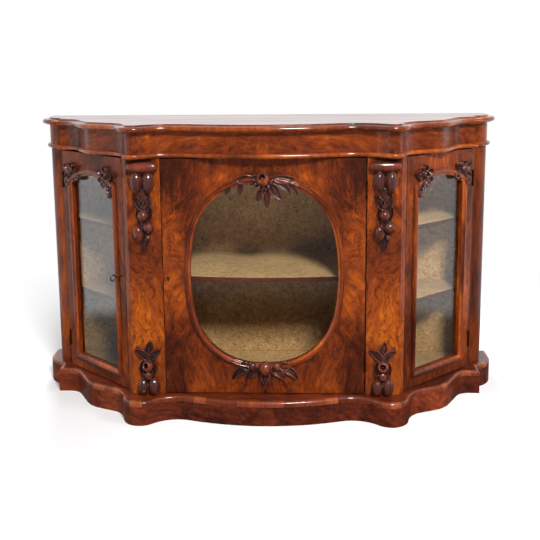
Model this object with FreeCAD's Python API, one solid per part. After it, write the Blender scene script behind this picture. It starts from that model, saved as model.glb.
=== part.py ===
import FreeCAD, Part
import math
import os

os.makedirs("parts", exist_ok=True)

# A glazed display credenza with a serpentine plan, in millimetres.
# X runs to the right, the front faces -Y, the floor is Z 0.
# Plan depths are counted from the foremost point of the plinth to the wall.

# Widths from the middle outwards: half the centre opening, pilaster, side bay, end bay
opening_half_width = 309.0
pilaster_width = 102.0
side_bay_width = 255.0
end_bay_width = 96.0
pilaster_edge = opening_half_width + pilaster_width
side_door_hinge_x = pilaster_edge + side_bay_width
half_width = side_door_hinge_x + end_bay_width

# Overall sizes
depth = 430.0
plinth_wall_height = 60.0
deck_thickness = 16.0
door_zone_height = 739.0
sub_top_thickness = 14.0
frieze_height = 64.0
top_thickness = 22.0

# Serpentine plan of the plinth's face, right half, from the middle outwards
bow_setback = 4.0
hollow_offset = 41.0
hollow_radius = 115.0
lobe_offset = 27.0
lobe_radius = 57.0
ogee_radius = 70.0
ogee_contact_angle = 10.0
run_angle = 22.5
bay_curves_width = 195.0
bulge_radius = 100.0
rise_angle = 58.6
sweep_radius = 50.0
return_to_wall = 182.0
notch_to_wall = 133.0
ear_projection = 60.0
ear_radius = 90.0

# Setbacks from that plan, square to it
bead_inset = 22.0
frieze_inset = 32.0
top_nose_inset = 9.0
top_field_inset = 33.0
post_inset = 34.0
edge_band_width = 12.0

# Mouldings that follow the plan
edge_band_round = 8.0
top_fillet_width = 2.0
top_quirk_depth = 2.0
top_hollow_width = 6.5
top_hollow_drop = 2.5
top_nose_width = 9.0
top_nose_half_height = 8.0
bead_back_inset = 33.0
round_steps = 8

# Blocks behind the plinth and frieze faces
block_inner_depth = 78.0
block_inner_offset = 17.0
block_inner_knee_depth = 118.0
block_outer_offset = 42.0
block_outer_to_wall = 114.0
block_ear_to_wall = 32.0
block_ear_wall = 24.0
plinth_rail_thickness = 20.0

# Carcass boards
back_thickness = 12.0
partition_thickness = 18.0
partition_offset = 41.0
pilaster_back_depth = 115.0
face_depth = 67.0
pilaster_heel = 7.0
post_wall = 24.0
post_shoulder_to_wall = 70.0
post_stile_to_wall = 85.0
post_recess = 8.0
post_stile_wall = 26.0
post_corner_offset = 17.0

# Shelves and their cloth
shelf_thickness = 14.0
cloth_thickness = 2.0
centre_shelf_height = 424.0
centre_shelf_set_depth = 99.0
centre_shelf_bow_radius = 1550.0
side_shelf_heights = (328.0, 568.0)
side_shelf_setback = 46.0
floor_cloth_setback = 25.0

# Doors
door_thickness = 22.0
door_floor_gap = 3.0
door_head_gap = 3.0
door_lock_gap = 2.5
door_hinge_gap = 4.0
side_lock_reveal = 18.3
side_lock_setback = 22.4
side_hinge_to_wall = 142.0
glass_thickness = 3.0
glass_clearance = 0.5
rebate_width = 8.0
rebate_depth = 12.0
glazing_bead_thickness = 6.0

# Oval of the centre door, as eight arcs, with radii as shares of its half width or half height
oval_stile_margin = 85.0
oval_rail_margin = 86.5
oval_rise = 11.0
oval_side_share = 2.23
oval_end_share = 2.009
oval_corner_share = 0.88

# Arched opening of the side doors
arch_margin = 50.0
arch_bottom_margin = 54.0
arch_spring_margin = 104.0
arch_crown_margin = 72.0

# Door mouldings
oval_moulding_width = 19.0
oval_moulding_proud = 10.0
arch_moulding_width = 20.0
arch_moulding_proud = 9.0
moulding_lip = 1.5
moulding_base_proud = 2.5

# Hinges
leaf_height = 52.0
leaf_thickness = 1.5
leaf_depth = 18.0
knuckle_radius = 2.5
knuckle_proud = 3.0
knuckle_gap = 0.3
pin_radius = 1.2
pin_clearance = 0.05
hinge_low_share = 0.13
hinge_high_share = 0.87
knuckle_share = 0.34
pin_head_height = 1.5

# Locks, bolts and the key
lock_height = 446.0
case_width = 40.0
case_thickness = 13.0
case_setback = 6.0
case_above = 26.0
case_below = 16.0
bolt_rise = 14.5
bolt_length = 28.0
bolt_height = 13.0
bolt_thickness = 5.0
bolt_clearance = 0.4
bolt_shy = 1.0
bolt_travel = 8.0
bolt_end_room = 1.5
strike_thickness = 1.0
strike_height = 44.0
strike_width = 13.0
key_inset = 10.0
centre_key_inset = 14.0
key_hole_radius = 2.8
key_slot_width = 3.0
key_slot_drop = 8.0
key_bit_room_radius = 10.0
key_bit_room_depth = 8.0
escutcheon_rim = 1.3
escutcheon_proud = 0.8
key_shank_radius = 2.2
key_reach_in = 14.0
key_reach_out = 30.0
key_bow_radius = 9.0
key_bow_wire = 2.0
key_bit_height = 7.0
key_bit_thickness = 2.0
key_bit_length = 5.0
key_collar_radius = 3.6
key_collar_length = 4.0

# Carving on the pilasters, as shares of the pilaster's width
bun_shares = (0.0, -0.25, 0.45, 0.152)
neck_shares = (0.60, 0.22, 0.15)
pod_shares = ((-0.183, -0.70), (0.183, -0.70))
pod_radius_share = 0.168
pod_half_length_share = 0.305
spray_base_share = -1.50
spray_leaf_shares = ((118.0, 0.38, 0.15), (90.0, 0.47, 0.17), (60.0, 0.36, 0.15))
round_fruit_shares = ((0.0, -1.70, 0.15), (0.14, -2.06, 0.15), (0.105, -2.38, 0.085))
long_fruit_shares = (-0.155, -2.235, 0.15, 0.235)
fruit_leaf_shares = ((-0.04, -1.86, 128.0, 0.24, 0.12), (0.06, -1.84, 62.0, 0.30, 0.14))
tail_shares = (0.0, -2.38, 270.0, 0.47, 0.13)
carving_depth_share = 0.14
seat_share = 0.75
leaf_rise_share = 0.10
leaf_edge_share = 0.4
leaf_crown_share = 0.4
nut_offset_share = 0.18
nut_radius_share = 0.167
nut_half_length_share = 0.285
tongue_shares = (0.0, 0.655, 0.13)
bud_shares = (0.0, 0.955, 0.19)
bud_hole_share = 0.062
collar_leaf_shares = ((-0.13, 0.78, 108.0, 0.34, 0.14), (0.13, 0.78, 72.0, 0.34, 0.14))
crest_base_share = 1.12
crest_leaf_shares = ((132.0, 0.48, 0.20), (90.0, 0.62, 0.22), (52.0, 0.46, 0.20))

# Carving on the centre door, as shares of the oval's half width, from the head or foot of the oval
top_bud_shares = (0.047, 0.092, 0.031)
top_fold_shares = (
    (-0.09, 0.043, 178.0, 0.3, 0.14), (0.09, 0.043, 2.0, 0.31, 0.11),
)
top_leaf_shares = (
    (-0.05, -0.013, 252.0, 0.24, 0.1), (0.03, -0.003, 283.0, 0.34, 0.13),
    (0.09, -0.013, 305.0, 0.32, 0.11), (0.18, 0.007, 318.0, 0.3, 0.11),
    (0.34, 0.007, 312.0, 0.22, 0.08), (-0.46, -0.013, 262.0, 0.17, 0.08),
    (-0.32, 0.007, 272.0, 0.18, 0.09),
)
top_petal_shares = ((205.0, 0.17, 0.08), (240.0, 0.17, 0.09), (275.0, 0.17, 0.09), (310.0, 0.17, 0.09))
foot_ball_shares = (
    (0.0, -0.037, 0.09), (-0.18, -0.022, 0.04), (0.17, -0.022, 0.042),
)
foot_scroll_shares = (
    (-0.12, -0.047, 168.0, 0.27, 0.13), (0.12, -0.047, 12.0, 0.27, 0.13),
)
foot_leaf_shares = (
    (-0.22, -0.077, 207.0, 0.36, 0.12), (-0.1, -0.097, 218.0, 0.34, 0.13),
    (0.0, -0.097, 270.0, 0.22, 0.13), (0.1, -0.097, 322.0, 0.34, 0.13),
    (0.22, -0.077, 333.0, 0.36, 0.12),
)

# Carving at the arch corners, as shares of the side door's length, from its hinge edge and the crown
outer_ball_shares = (
    (0.162, 0.043, 0.038), (0.088, -0.12, 0.03), (0.262, -0.047, 0.028),
)
outer_leaf_shares = (
    (0.17, 0.025, 245.0, 0.2, 0.075), (0.17, 0.045, 330.0, 0.14, 0.06),
    (0.16, 0.055, 140.0, 0.1, 0.055), (0.18, 0.065, 40.0, 0.11, 0.055),
)
inner_ball_shares = (
    (0.765, 0.033, 0.04), (0.78, -0.06, 0.03),
)
inner_leaf_shares = (
    (0.76, 0.035, 165.0, 0.13, 0.06), (0.79, 0.045, 355.0, 0.13, 0.075),
    (0.815, -0.02, 290.0, 0.22, 0.08), (0.86, -0.075, 262.0, 0.13, 0.07),
)
corner_depth_share = 0.035
corner_rise_share = 0.030

# Heights that follow
plinth_height = plinth_wall_height + deck_thickness
head_height = plinth_height + door_zone_height
frieze_foot = head_height + sub_top_thickness
frieze_head = frieze_foot + frieze_height
total_height = frieze_head + top_thickness
door_foot = plinth_height + door_floor_gap
door_head = head_height - door_head_gap
back_face = depth - back_thickness
side_door_hinge_depth = depth - side_hinge_to_wall
side_door_run = side_bay_width - side_lock_reveal
side_door_drop = side_door_hinge_depth - face_depth - side_lock_setback
side_door_angle = math.degrees(math.atan2(side_door_drop, side_door_run))
side_door_length = math.hypot(side_door_run, side_door_drop)
hollow_x = opening_half_width - hollow_offset
lobe_x = pilaster_edge - lobe_offset
run_length = side_bay_width - bay_curves_width
return_depth = depth - return_to_wall
notch_x = half_width - ear_projection
notch_depth = depth - notch_to_wall
block_inner_x = pilaster_edge + block_inner_offset
block_outer_x = side_door_hinge_x - block_outer_offset
block_outer_knee_depth = depth - block_outer_to_wall
block_ear_depth = depth - block_ear_to_wall
partition_x = opening_half_width + partition_offset
post_shoulder_depth = depth - post_shoulder_to_wall
post_stile_depth = depth - post_stile_to_wall
post_corner_x = side_door_hinge_x + post_corner_offset
centre_hinge_x = opening_half_width - door_hinge_gap
centre_door_length = centre_hinge_x + opening_half_width - door_lock_gap
oval_half_width = opening_half_width - oval_stile_margin
oval_half_height = door_zone_height / 2 - oval_rail_margin
oval_centre_height = plinth_height + door_zone_height / 2 + oval_rise
oval_side_radius = oval_side_share * oval_half_height
oval_end_radius = oval_end_share * oval_half_width
oval_corner_radius = oval_corner_share * oval_half_width
arch_bottom_height = plinth_height + arch_bottom_margin
arch_spring_height = head_height - arch_spring_margin
arch_crown_height = head_height - arch_crown_margin

ORIGIN = FreeCAD.Vector(0, 0, 0)
UP = FreeCAD.Vector(0, 0, 1)
ACROSS = FreeCAD.Vector(1, 0, 0)


def at(x, y, z):
    """A point from its plan place, with the depth counted from the front."""
    return FreeCAD.Vector(x, y - depth / 2, z)


def turn(angle):
    """Unit direction of an angle in degrees, as plain numbers."""
    return math.cos(math.radians(angle)), math.sin(math.radians(angle))


def step(centre, direction, distance):
    return centre[0] + direction[0] * distance, centre[1] + direction[1] * distance


def arc_item(centre, first, last, radius):
    """An arc of under half a turn between two unit directions from its centre."""
    mid = (first[0] + last[0], first[1] + last[1])
    size = math.hypot(mid[0], mid[1])
    mid = (mid[0] / size, mid[1] / size)
    return ("arc", step(centre, first, radius), step(centre, mid, radius), step(centre, last, radius))


def line_item(first, last):
    return ("line", first, None, last)


def half_outline(inset):
    """Right half of the serpentine plan, set in by a distance, from the middle to the wall."""
    lobe = (lobe_x, lobe_radius)
    reach = lobe_radius + hollow_radius
    hollow = (hollow_x, lobe_radius - math.sqrt(reach ** 2 - (lobe_x - hollow_x) ** 2))
    drop = hollow[1] - bow_setback
    bow_radius = (hollow_x ** 2 + drop ** 2 - hollow_radius ** 2) / (2 * (hollow_radius + drop))
    bow = (0, bow_setback + bow_radius)
    span = bow_radius + hollow_radius
    from_bow = ((hollow[0] - bow[0]) / span, (hollow[1] - bow[1]) / span)
    from_lobe = ((hollow[0] - lobe[0]) / reach, (hollow[1] - lobe[1]) / reach)
    contact = turn(-ogee_contact_angle)
    ogee = step(lobe, contact, lobe_radius + ogee_radius)
    run_c, run_s = turn(run_angle)
    rise_c, rise_s = turn(rise_angle)
    run_start = step(ogee, (-run_s, run_c), ogee_radius)
    run_end = step(run_start, (run_c, run_s), run_length)
    bulge = step(run_end, (-run_s, run_c), bulge_radius)
    rise_start = step(bulge, (rise_s, -rise_c), bulge_radius)
    sweep_depth = return_depth - sweep_radius
    rise_length = (sweep_depth + sweep_radius * rise_c - rise_start[1]) / rise_s
    rise_end = step(rise_start, (rise_c, rise_s), rise_length)
    sweep = step(rise_end, (rise_s, -rise_c), sweep_radius)
    ear_x = half_width - ear_radius
    ear = (ear_x, notch_depth + math.sqrt(ear_radius ** 2 - (notch_x - ear_x) ** 2))
    notch = notch_x - inset
    ear_turn = (notch - ear_x) / (ear_radius - inset)
    ear_first = (ear_turn, -math.sqrt(1 - ear_turn ** 2))
    items = [
        arc_item(bow, (0, -1), from_bow, bow_radius - inset),
        arc_item(hollow, (-from_bow[0], -from_bow[1]), (-from_lobe[0], -from_lobe[1]), hollow_radius + inset),
        arc_item(lobe, from_lobe, contact, lobe_radius - inset),
        arc_item(ogee, (-contact[0], -contact[1]), (-run_s, run_c), ogee_radius + inset),
    ]
    bulge_item = arc_item(bulge, (run_s, -run_c), (rise_s, -rise_c), bulge_radius - inset)
    sweep_item = arc_item(sweep, (-rise_s, rise_c), (0, 1), sweep_radius + inset)
    ear_item = arc_item(ear, ear_first, (1, 0), ear_radius - inset)
    corner = (notch, return_depth + inset)
    items += [
        line_item(items[3][3], bulge_item[1]),
        bulge_item,
        line_item(bulge_item[3], sweep_item[1]),
        sweep_item,
        line_item(sweep_item[3], corner),
        line_item(corner, ear_item[1]),
        ear_item,
        line_item(ear_item[3], (half_width - inset, depth)),
    ]
    return items


def mirrored(items):
    """The left half that matches a right half, running the other way."""
    flipped = []
    for kind, first, mid, last in reversed(items):
        middle = None if mid is None else (-mid[0], mid[1])
        flipped.append((kind, (-last[0], last[1]), middle, (-first[0], first[1])))
    return flipped


def full_outline(inset):
    half = half_outline(inset)
    return mirrored(half) + half


def edges_at(items, z, place=at):
    """Edges of an outline at a height."""
    made = []
    for kind, first, mid, last in items:
        if kind == "arc":
            made.append(Part.Arc(place(*first, z), place(*mid, z), place(*last, z)).toShape())
        else:
            made.append(Part.makeLine(place(*first, z), place(*last, z)))
    return made


def prism(items, z_low, z_high, place=at):
    """Closed outline raised to a solid."""
    face = Part.Face(Part.Wire(edges_at(items, z_low, place)))
    return face.extrude(FreeCAD.Vector(0, 0, z_high - z_low))


def closed(items, *corners):
    """An open run of outline closed through corner points."""
    points = [items[-1][3]] + list(corners) + [items[0][1]]
    return items + [line_item(a, b) for a, b in zip(points, points[1:])]


def polygon(*corners):
    points = list(corners) + [corners[0]]
    return [line_item(a, b) for a, b in zip(points, points[1:])]


def outward(solid):
    """The solid with its skin facing outwards."""
    if solid.Volume > 0:
        return solid
    skin = solid.Shells[0]
    skin.reverse()
    return Part.makeSolid(skin)


def ruled_solid(rows, open_ended):
    """Solid between matching rows of edges; each row is one corner line of the section."""
    faces = []
    for low, high in zip(rows, rows[1:] + rows[:1]):
        faces += [Part.makeRuledSurface(a, b) for a, b in zip(low, high)]
    if open_ended:
        for end, side in ((0, 0), (-1, -1)):
            corners = [row[end].Vertexes[side].Point for row in rows]
            faces.append(Part.Face(Part.makePolygon(corners + corners[:1])))
    shell = Part.makeShell(faces)
    shell.sewShape()
    return outward(Part.makeSolid(shell if shell.ShapeType == "Shell" else shell.Shells[0]))


def plan_moulding(section):
    """A moulding that runs round the front of the plan, from (setback, height) corners."""
    return ruled_solid([edges_at(full_outline(inset), z) for inset, z in section], True)


def quarter(centre, reach, start, end):
    """Corner points along an ellipse part, from one angle to another."""
    points = []
    for index in range(round_steps + 1):
        c, s = turn(start + (end - start) * index / round_steps)
        points.append((centre[0] + reach[0] * c, centre[1] + reach[1] * s))
    return points


def save(name, *shapes):
    """Write one node."""
    shape = shapes[0] if len(shapes) == 1 else Part.makeCompound(list(shapes))
    volumes = [solid.Volume for solid in shape.Solids]
    shape.exportStep("parts/" + name + ".step")
    print(name, len(volumes), shape.isValid(), round(min(volumes)), round(sum(volumes)))


def flip(shape):
    """Mirror image for the other end of the credenza."""
    return shape.mirror(ORIGIN, ACROSS)


# Places in a door's own frame: along it from the hinge edge, outwards from its face, up.
SIDE = (side_door_hinge_x, side_door_hinge_depth, 180 + side_door_angle)
CENTRE = (centre_hinge_x, face_depth, 180)


def hang(shape, door):
    """Move a shape from a door's own frame to the credenza's."""
    shape.rotate(ORIGIN, UP, door[2])
    shape.translate(at(door[0], door[1], 0))
    return shape


def from_door(door, along, out):
    """Plan point of a place given in a door's own frame."""
    c, s = turn(door[2])
    return door[0] + along * c - out * s, door[1] + along * s + out * c


def flat(x, y, z):
    return FreeCAD.Vector(x, y, z)


def slab(along, out, z, length, width, height):
    return Part.makeBox(length, width, height, FreeCAD.Vector(along, out, z))


# Plinth and deck

def plinth_front():
    half = half_outline(0)[:2]
    items = mirrored(half) + half
    end_x = items[-1][3][0]
    return prism(closed(items, (end_x, block_inner_depth), (-end_x, block_inner_depth)), 0, plinth_wall_height)


def corner_block(inset, z_low, z_high, back):
    """Shaped block behind the lobe, the canted stretch and the ear of one end."""
    items = half_outline(inset)[2:-1]
    ear = items[-1][3]
    inner_x = ear[0] - block_ear_wall
    items = items + [line_item(ear, (ear[0], back))]
    ring = closed(
        items,
        (inner_x, back),
        (inner_x, block_ear_depth),
        (block_outer_x, block_outer_knee_depth),
        (block_inner_x, block_inner_knee_depth),
        (items[0][1][0], block_inner_depth),
    )
    return prism(ring, z_low, z_high)


def plinth_end():
    return corner_block(0, 0, plinth_wall_height, depth - plinth_rail_thickness)


def plinth_back():
    return Part.makeBox(
        2 * half_width, plinth_rail_thickness, plinth_wall_height,
        at(-half_width, depth - plinth_rail_thickness, 0),
    )


def plan_board(inset, z_low, z_high, back=depth):
    """A board of the whole plan, back to the wall or to another depth."""
    half = half_outline(inset)
    half[-1] = line_item(half[-1][1], (half_width - inset, back))
    return prism(closed(mirrored(half) + half), z_low, z_high)


def base_board():
    return plan_board(edge_band_width, plinth_wall_height, plinth_height)


def plinth_edge_band():
    reach = (edge_band_round, edge_band_round)
    centre = (edge_band_round, plinth_height - edge_band_round)
    section = [(edge_band_width, plinth_wall_height), (0, plinth_wall_height)]
    section += quarter(centre, reach, 180, 90)
    section.append((edge_band_width, plinth_height))
    return plan_moulding(section)


# Frieze and top

def sub_top():
    return plan_board(bead_back_inset, head_height, frieze_foot, back_face)


def frieze_bead():
    half = sub_top_thickness / 2
    centre = (bead_inset + half, head_height + half)
    section = [(bead_back_inset, head_height)]
    section += quarter(centre, (half, half), 270, 90)
    section.append((bead_back_inset, frieze_foot))
    return plan_moulding(section)


def frieze_front():
    half = half_outline(frieze_inset)[:2]
    items = mirrored(half) + half
    end_x = items[-1][3][0]
    ring = closed(items, (end_x, block_inner_depth), (-end_x, block_inner_depth))
    return prism(ring, frieze_foot, frieze_head)


def frieze_end():
    return corner_block(frieze_inset, frieze_foot, frieze_head, back_face)


def top_board():
    return plan_board(top_field_inset, frieze_head, total_height)


def top_moulding():
    fillet_edge = top_field_inset - top_fillet_width
    quirk = total_height - top_quirk_depth
    nose_x = top_nose_inset + top_nose_width
    nose_top = quirk - top_hollow_drop
    nose_centre = (nose_x, nose_top - top_nose_half_height)
    hollow_centre = (fillet_edge - top_hollow_width, quirk)
    section = [(top_field_inset, frieze_head), (top_field_inset, total_height), (fillet_edge, total_height)]
    section += quarter(hollow_centre, (top_hollow_width, top_hollow_drop), 0, -90)
    section += quarter(nose_centre, (top_nose_width, top_nose_half_height), 90, 270)
    section.append((nose_x, frieze_head))
    return plan_moulding(section)


# Carcass uprights and back

def pilaster():
    front = opening_half_width + pilaster_width
    side_gap = side_door_length + door_lock_gap
    corner = from_door(SIDE, side_gap, 0)
    heel = from_door(SIDE, side_gap, -post_stile_wall)
    items = polygon(
        (opening_half_width, face_depth), (front, face_depth), corner, heel,
        (heel[0] - pilaster_heel, pilaster_back_depth), (opening_half_width, pilaster_back_depth),
    )
    return prism(items, plinth_height, head_height)


def strike_mortise(door, length):
    """The room for a bolt beyond the lock edge, in the neighbouring upright."""
    start = length + door_lock_gap
    run = bolt_travel - bolt_shy - door_lock_gap + bolt_end_room
    half_out = bolt_thickness / 2 + bolt_clearance
    half_up = bolt_height / 2 + bolt_clearance
    box = slab(start, bolt_line - half_out, bolt_level - half_up, run, 2 * half_out, 2 * half_up)
    return hang(box, door)


bolt_line = -(case_setback + case_thickness / 2)
bolt_level = lock_height + bolt_rise


def strike_plate(door, length):
    start = length + door_lock_gap - strike_thickness
    half_out = bolt_thickness / 2 + bolt_clearance
    half_up = bolt_height / 2 + bolt_clearance
    plate = slab(
        start, bolt_line - strike_width / 2, bolt_level - strike_height / 2,
        strike_thickness, strike_width, strike_height,
    )
    window = slab(
        start, bolt_line - half_out, bolt_level - half_up, strike_thickness, 2 * half_out, 2 * half_up,
    )
    return hang(plate.cut(window), door)


def rear_post():
    """The ear-shaped corner post with the stile that the side door hangs on."""
    hinge_line = -door_hinge_gap
    first = from_door(SIDE, hinge_line, -post_recess)
    last = from_door(SIDE, hinge_line, -post_stile_wall)
    ear_x = half_width - ear_radius
    ear_depth = notch_depth + math.sqrt(ear_radius ** 2 - (notch_x - ear_x) ** 2)
    radius = ear_radius - post_inset
    start_turn = (post_corner_x - ear_x) / radius
    start_dir = (start_turn, -math.sqrt(1 - start_turn ** 2))
    ear_item = arc_item((ear_x, ear_depth), start_dir, (1, 0), radius)
    outer = ear_x + radius
    items = [line_item(first, ear_item[1]), ear_item, line_item(ear_item[3], (outer, back_face))]
    ring = closed(
        items, (outer - post_wall, back_face), (outer - post_wall, post_shoulder_depth),
        (last[0], post_stile_depth), last,
    )
    return prism(ring, plinth_height, head_height)


def partition():
    return Part.makeBox(
        partition_thickness, back_face - pilaster_back_depth, door_zone_height,
        at(partition_x - partition_thickness / 2, pilaster_back_depth, plinth_height),
    )


def back_panel():
    reach = half_width - post_inset
    return Part.makeBox(2 * reach, back_thickness, frieze_head - plinth_height, at(-reach, back_face, plinth_height))


# Shelves and cloth

def centre_shelf_outline(back):
    reach = partition_x - partition_thickness / 2
    drop = centre_shelf_bow_radius - math.sqrt(centre_shelf_bow_radius ** 2 - reach ** 2)
    front = centre_shelf_set_depth
    # The ends stop behind the pilasters, so the bow is cut back to them.
    end_depth = max(front + drop, pilaster_back_depth)
    side = [("arc", (-reach, end_depth), (0, front), (reach, end_depth))]
    return closed(side, (reach, back), (-reach, back))


def side_shelf_outline(setback, back):
    """Behind the canted door, from the partition round the post's stile to the back."""
    inner = partition_x + partition_thickness / 2
    stile = from_door(SIDE, -door_hinge_gap, -post_stile_wall)
    first = from_door(SIDE, side_door_length, -setback)
    c, s = turn(side_door_angle)
    clear = max(0, pilaster_back_depth - first[1]) / s
    first = step(first, (c, s), clear)
    along = (stile[0] - first[0]) / c
    meet = (stile[0], first[1] + along * s)
    outer = half_width - post_inset - post_wall
    return polygon(
        (inner, back), (inner, first[1]), first, meet,
        (stile[0], post_stile_depth), (outer, post_shoulder_depth), (outer, back),
    )


def centre_shelf():
    return prism(
        centre_shelf_outline(back_face - cloth_thickness),
        centre_shelf_height, centre_shelf_height + shelf_thickness,
    )


def side_shelf(height):
    outline = side_shelf_outline(side_shelf_setback, back_face - cloth_thickness)
    return prism(outline, height, height + shelf_thickness)


def wall_cloth(x_low, x_high):
    return Part.makeBox(
        x_high - x_low, cloth_thickness, door_zone_height - cloth_thickness,
        at(x_low, back_face - cloth_thickness, plinth_height + cloth_thickness),
    )


def centre_cloth():
    reach = partition_x - partition_thickness / 2
    floor_edge = pilaster_back_depth
    floor = Part.makeBox(2 * reach, back_face - floor_edge, cloth_thickness, at(-reach, floor_edge, plinth_height))
    shelf_top = centre_shelf_height + shelf_thickness
    shelf = prism(centre_shelf_outline(back_face - cloth_thickness), shelf_top, shelf_top + cloth_thickness)
    return [floor, wall_cloth(-reach, reach), shelf]


def side_cloth():
    floor = prism(side_shelf_outline(floor_cloth_setback, back_face), plinth_height, plinth_height + cloth_thickness)
    pieces = [floor, wall_cloth(partition_x + partition_thickness / 2, half_width - post_inset - post_wall)]
    for height in side_shelf_heights:
        top = height + shelf_thickness
        outline = side_shelf_outline(side_shelf_setback, back_face - cloth_thickness)
        pieces.append(prism(outline, top, top + cloth_thickness))
    return pieces


# Door openings, frames, glass and mouldings

def oval_items(grow):
    """The oval in the centre door's own frame, grown by a distance."""
    middle = centre_hinge_x
    side_r = oval_side_radius + grow
    end_r = oval_end_radius + grow
    corner_r = oval_corner_radius + grow
    side_x = oval_half_width - oval_side_radius
    end_y = oval_half_height - oval_end_radius
    side_reach = oval_side_radius - oval_corner_radius
    end_reach = oval_end_radius - oval_corner_radius
    span = math.hypot(side_x, end_y)
    along = (side_reach ** 2 - end_reach ** 2 + span ** 2) / (2 * span)
    across = math.sqrt(side_reach ** 2 - along ** 2)
    ux, uy = -side_x / span, end_y / span
    corner = (side_x + ux * along - uy * across, uy * along + ux * across)
    to_side = ((corner[0] - side_x) / side_reach, corner[1] / side_reach)
    to_end = (corner[0] / end_reach, (corner[1] - end_y) / end_reach)
    items = []
    for sx, sy in ((1, 1), (-1, 1), (-1, -1), (1, -1)):
        turned = (
            arc_item((0, end_y), (0, 1), to_end, end_r),
            arc_item(corner, to_end, to_side, corner_r),
            arc_item((side_x, 0), to_side, (1, 0), side_r),
        )
        quadrant = []
        for kind, first, mid, last in turned:
            quadrant.append((
                kind,
                (middle + sx * first[0], oval_centre_height + sy * first[1]),
                (middle + sx * mid[0], oval_centre_height + sy * mid[1]),
                (middle + sx * last[0], oval_centre_height + sy * last[1]),
            ))
        if sx * sy > 0:
            quadrant = [(kind, last, mid, first) for kind, first, mid, last in reversed(quadrant)]
        items.append(quadrant)
    return items[0] + items[1] + items[2] + items[3]


def arch_items(grow):
    """The arched opening in a side door's own frame, grown by a distance."""
    low = arch_margin - grow
    high = side_door_length - arch_margin + grow
    middle = side_door_length / 2
    half = middle - arch_margin
    rise = arch_crown_height - arch_spring_height
    radius = (half ** 2 + rise ** 2) / (2 * rise)
    centre = arch_crown_height - radius
    radius += grow
    spring = centre + math.sqrt(radius ** 2 - (half + grow) ** 2)
    foot = arch_bottom_height - grow
    return [
        line_item((low, foot), (high, foot)),
        line_item((high, foot), (high, spring)),
        ("arc", (high, spring), (middle, centre + radius), (low, spring)),
        line_item((low, spring), (low, foot)),
    ]


def upright(along, height, out):
    """Point of an upright outline in a door's own frame."""
    return FreeCAD.Vector(along, out, height)


def panel(items, out_low, out_high):
    """Upright outline given thickness, in a door's own frame."""
    face = Part.Face(Part.Wire(edges_at(items, out_low, upright)))
    return face.extrude(FreeCAD.Vector(0, out_high - out_low, 0))


def ring_moulding(outline, section):
    """A closed moulding round an opening, from (growth, outward) corners."""
    return ruled_solid([edges_at(outline(grow), out, upright) for grow, out in section], False)


def moulding_section(width, proud):
    """A rounded moulding with a small lip at the glass and a flat bead outside."""
    half = (width - moulding_lip) / 2
    centre = (half, moulding_base_proud)
    section = [(0, 0), (0, moulding_base_proud)]
    section += quarter(centre, (half, proud - moulding_base_proud), 180, 0)
    section += [(width, moulding_base_proud), (width, 0)]
    return section[:1] + section[2:]


def door_frame(length, outline, lock_gate):
    """Frame with its opening, glazing rebate, lock mortise and keyhole."""
    frame = slab(0, -door_thickness, door_foot, length, door_thickness, door_head - door_foot)
    frame = frame.cut(panel(outline(0), -door_thickness, 0))
    frame = frame.cut(panel(outline(rebate_width), -door_thickness, -(door_thickness - rebate_depth)))
    frame = frame.cut(case_block(length))
    return frame.cut(lock_gate)


def glass_pane(outline):
    out_high = -(door_thickness - rebate_depth)
    return panel(outline(rebate_width - glass_clearance), out_high - glass_thickness, out_high)


def glazing_bead(outline):
    out_high = -(door_thickness - rebate_depth) - glass_thickness
    out_low = out_high - glazing_bead_thickness
    return ring_moulding(outline, [(0, out_high), (rebate_width, out_high), (rebate_width, out_low), (moulding_lip, out_low)])


# Lock parts, in a door's own frame

def case_block(length):
    return slab(
        length - case_width, -(case_setback + case_thickness), lock_height - case_below,
        case_width, case_thickness, case_above + case_below,
    )


def key_gate(along, out_low, out_high, grow):
    """Keyhole: a round with a slot below it."""
    hole = Part.makeCylinder(
        key_hole_radius + grow, out_high - out_low, FreeCAD.Vector(along, out_low, lock_height),
        FreeCAD.Vector(0, 1, 0),
    )
    width = key_slot_width + 2 * grow
    drop = key_slot_drop + grow
    return hole.fuse(slab(along - width / 2, out_low, lock_height - drop, width, out_high - out_low, drop))


def lock_case(length, key_along):
    """Case let into the stile, with the bolt's channel, the bit's room and the keyhole rim."""
    case = case_block(length)
    half_out = bolt_thickness / 2 + bolt_clearance
    half_up = bolt_height / 2 + bolt_clearance
    channel_length = bolt_length + bolt_shy + bolt_end_room
    case = case.cut(slab(
        length - channel_length, bolt_line - half_out, bolt_level - half_up,
        channel_length, 2 * half_out, 2 * half_up,
    ))
    room_low = bolt_line - key_bit_room_depth / 2
    room = Part.makeCylinder(
        key_bit_room_radius, key_bit_room_depth, FreeCAD.Vector(key_along, room_low, lock_height),
        FreeCAD.Vector(0, 1, 0),
    )
    room = room.common(case_block(length))
    case = case.cut(room)
    case = case.cut(key_gate(key_along, bolt_line, -case_setback, 0))
    rim = key_gate(key_along, 0, escutcheon_proud, escutcheon_rim).cut(
        key_gate(key_along, 0, escutcheon_proud, 0))
    return [case, rim]


def lock_bolt(length):
    return slab(
        length - bolt_shy - bolt_length, bolt_line - bolt_thickness / 2, bolt_level - bolt_height / 2,
        bolt_length, bolt_thickness, bolt_height,
    )


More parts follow.
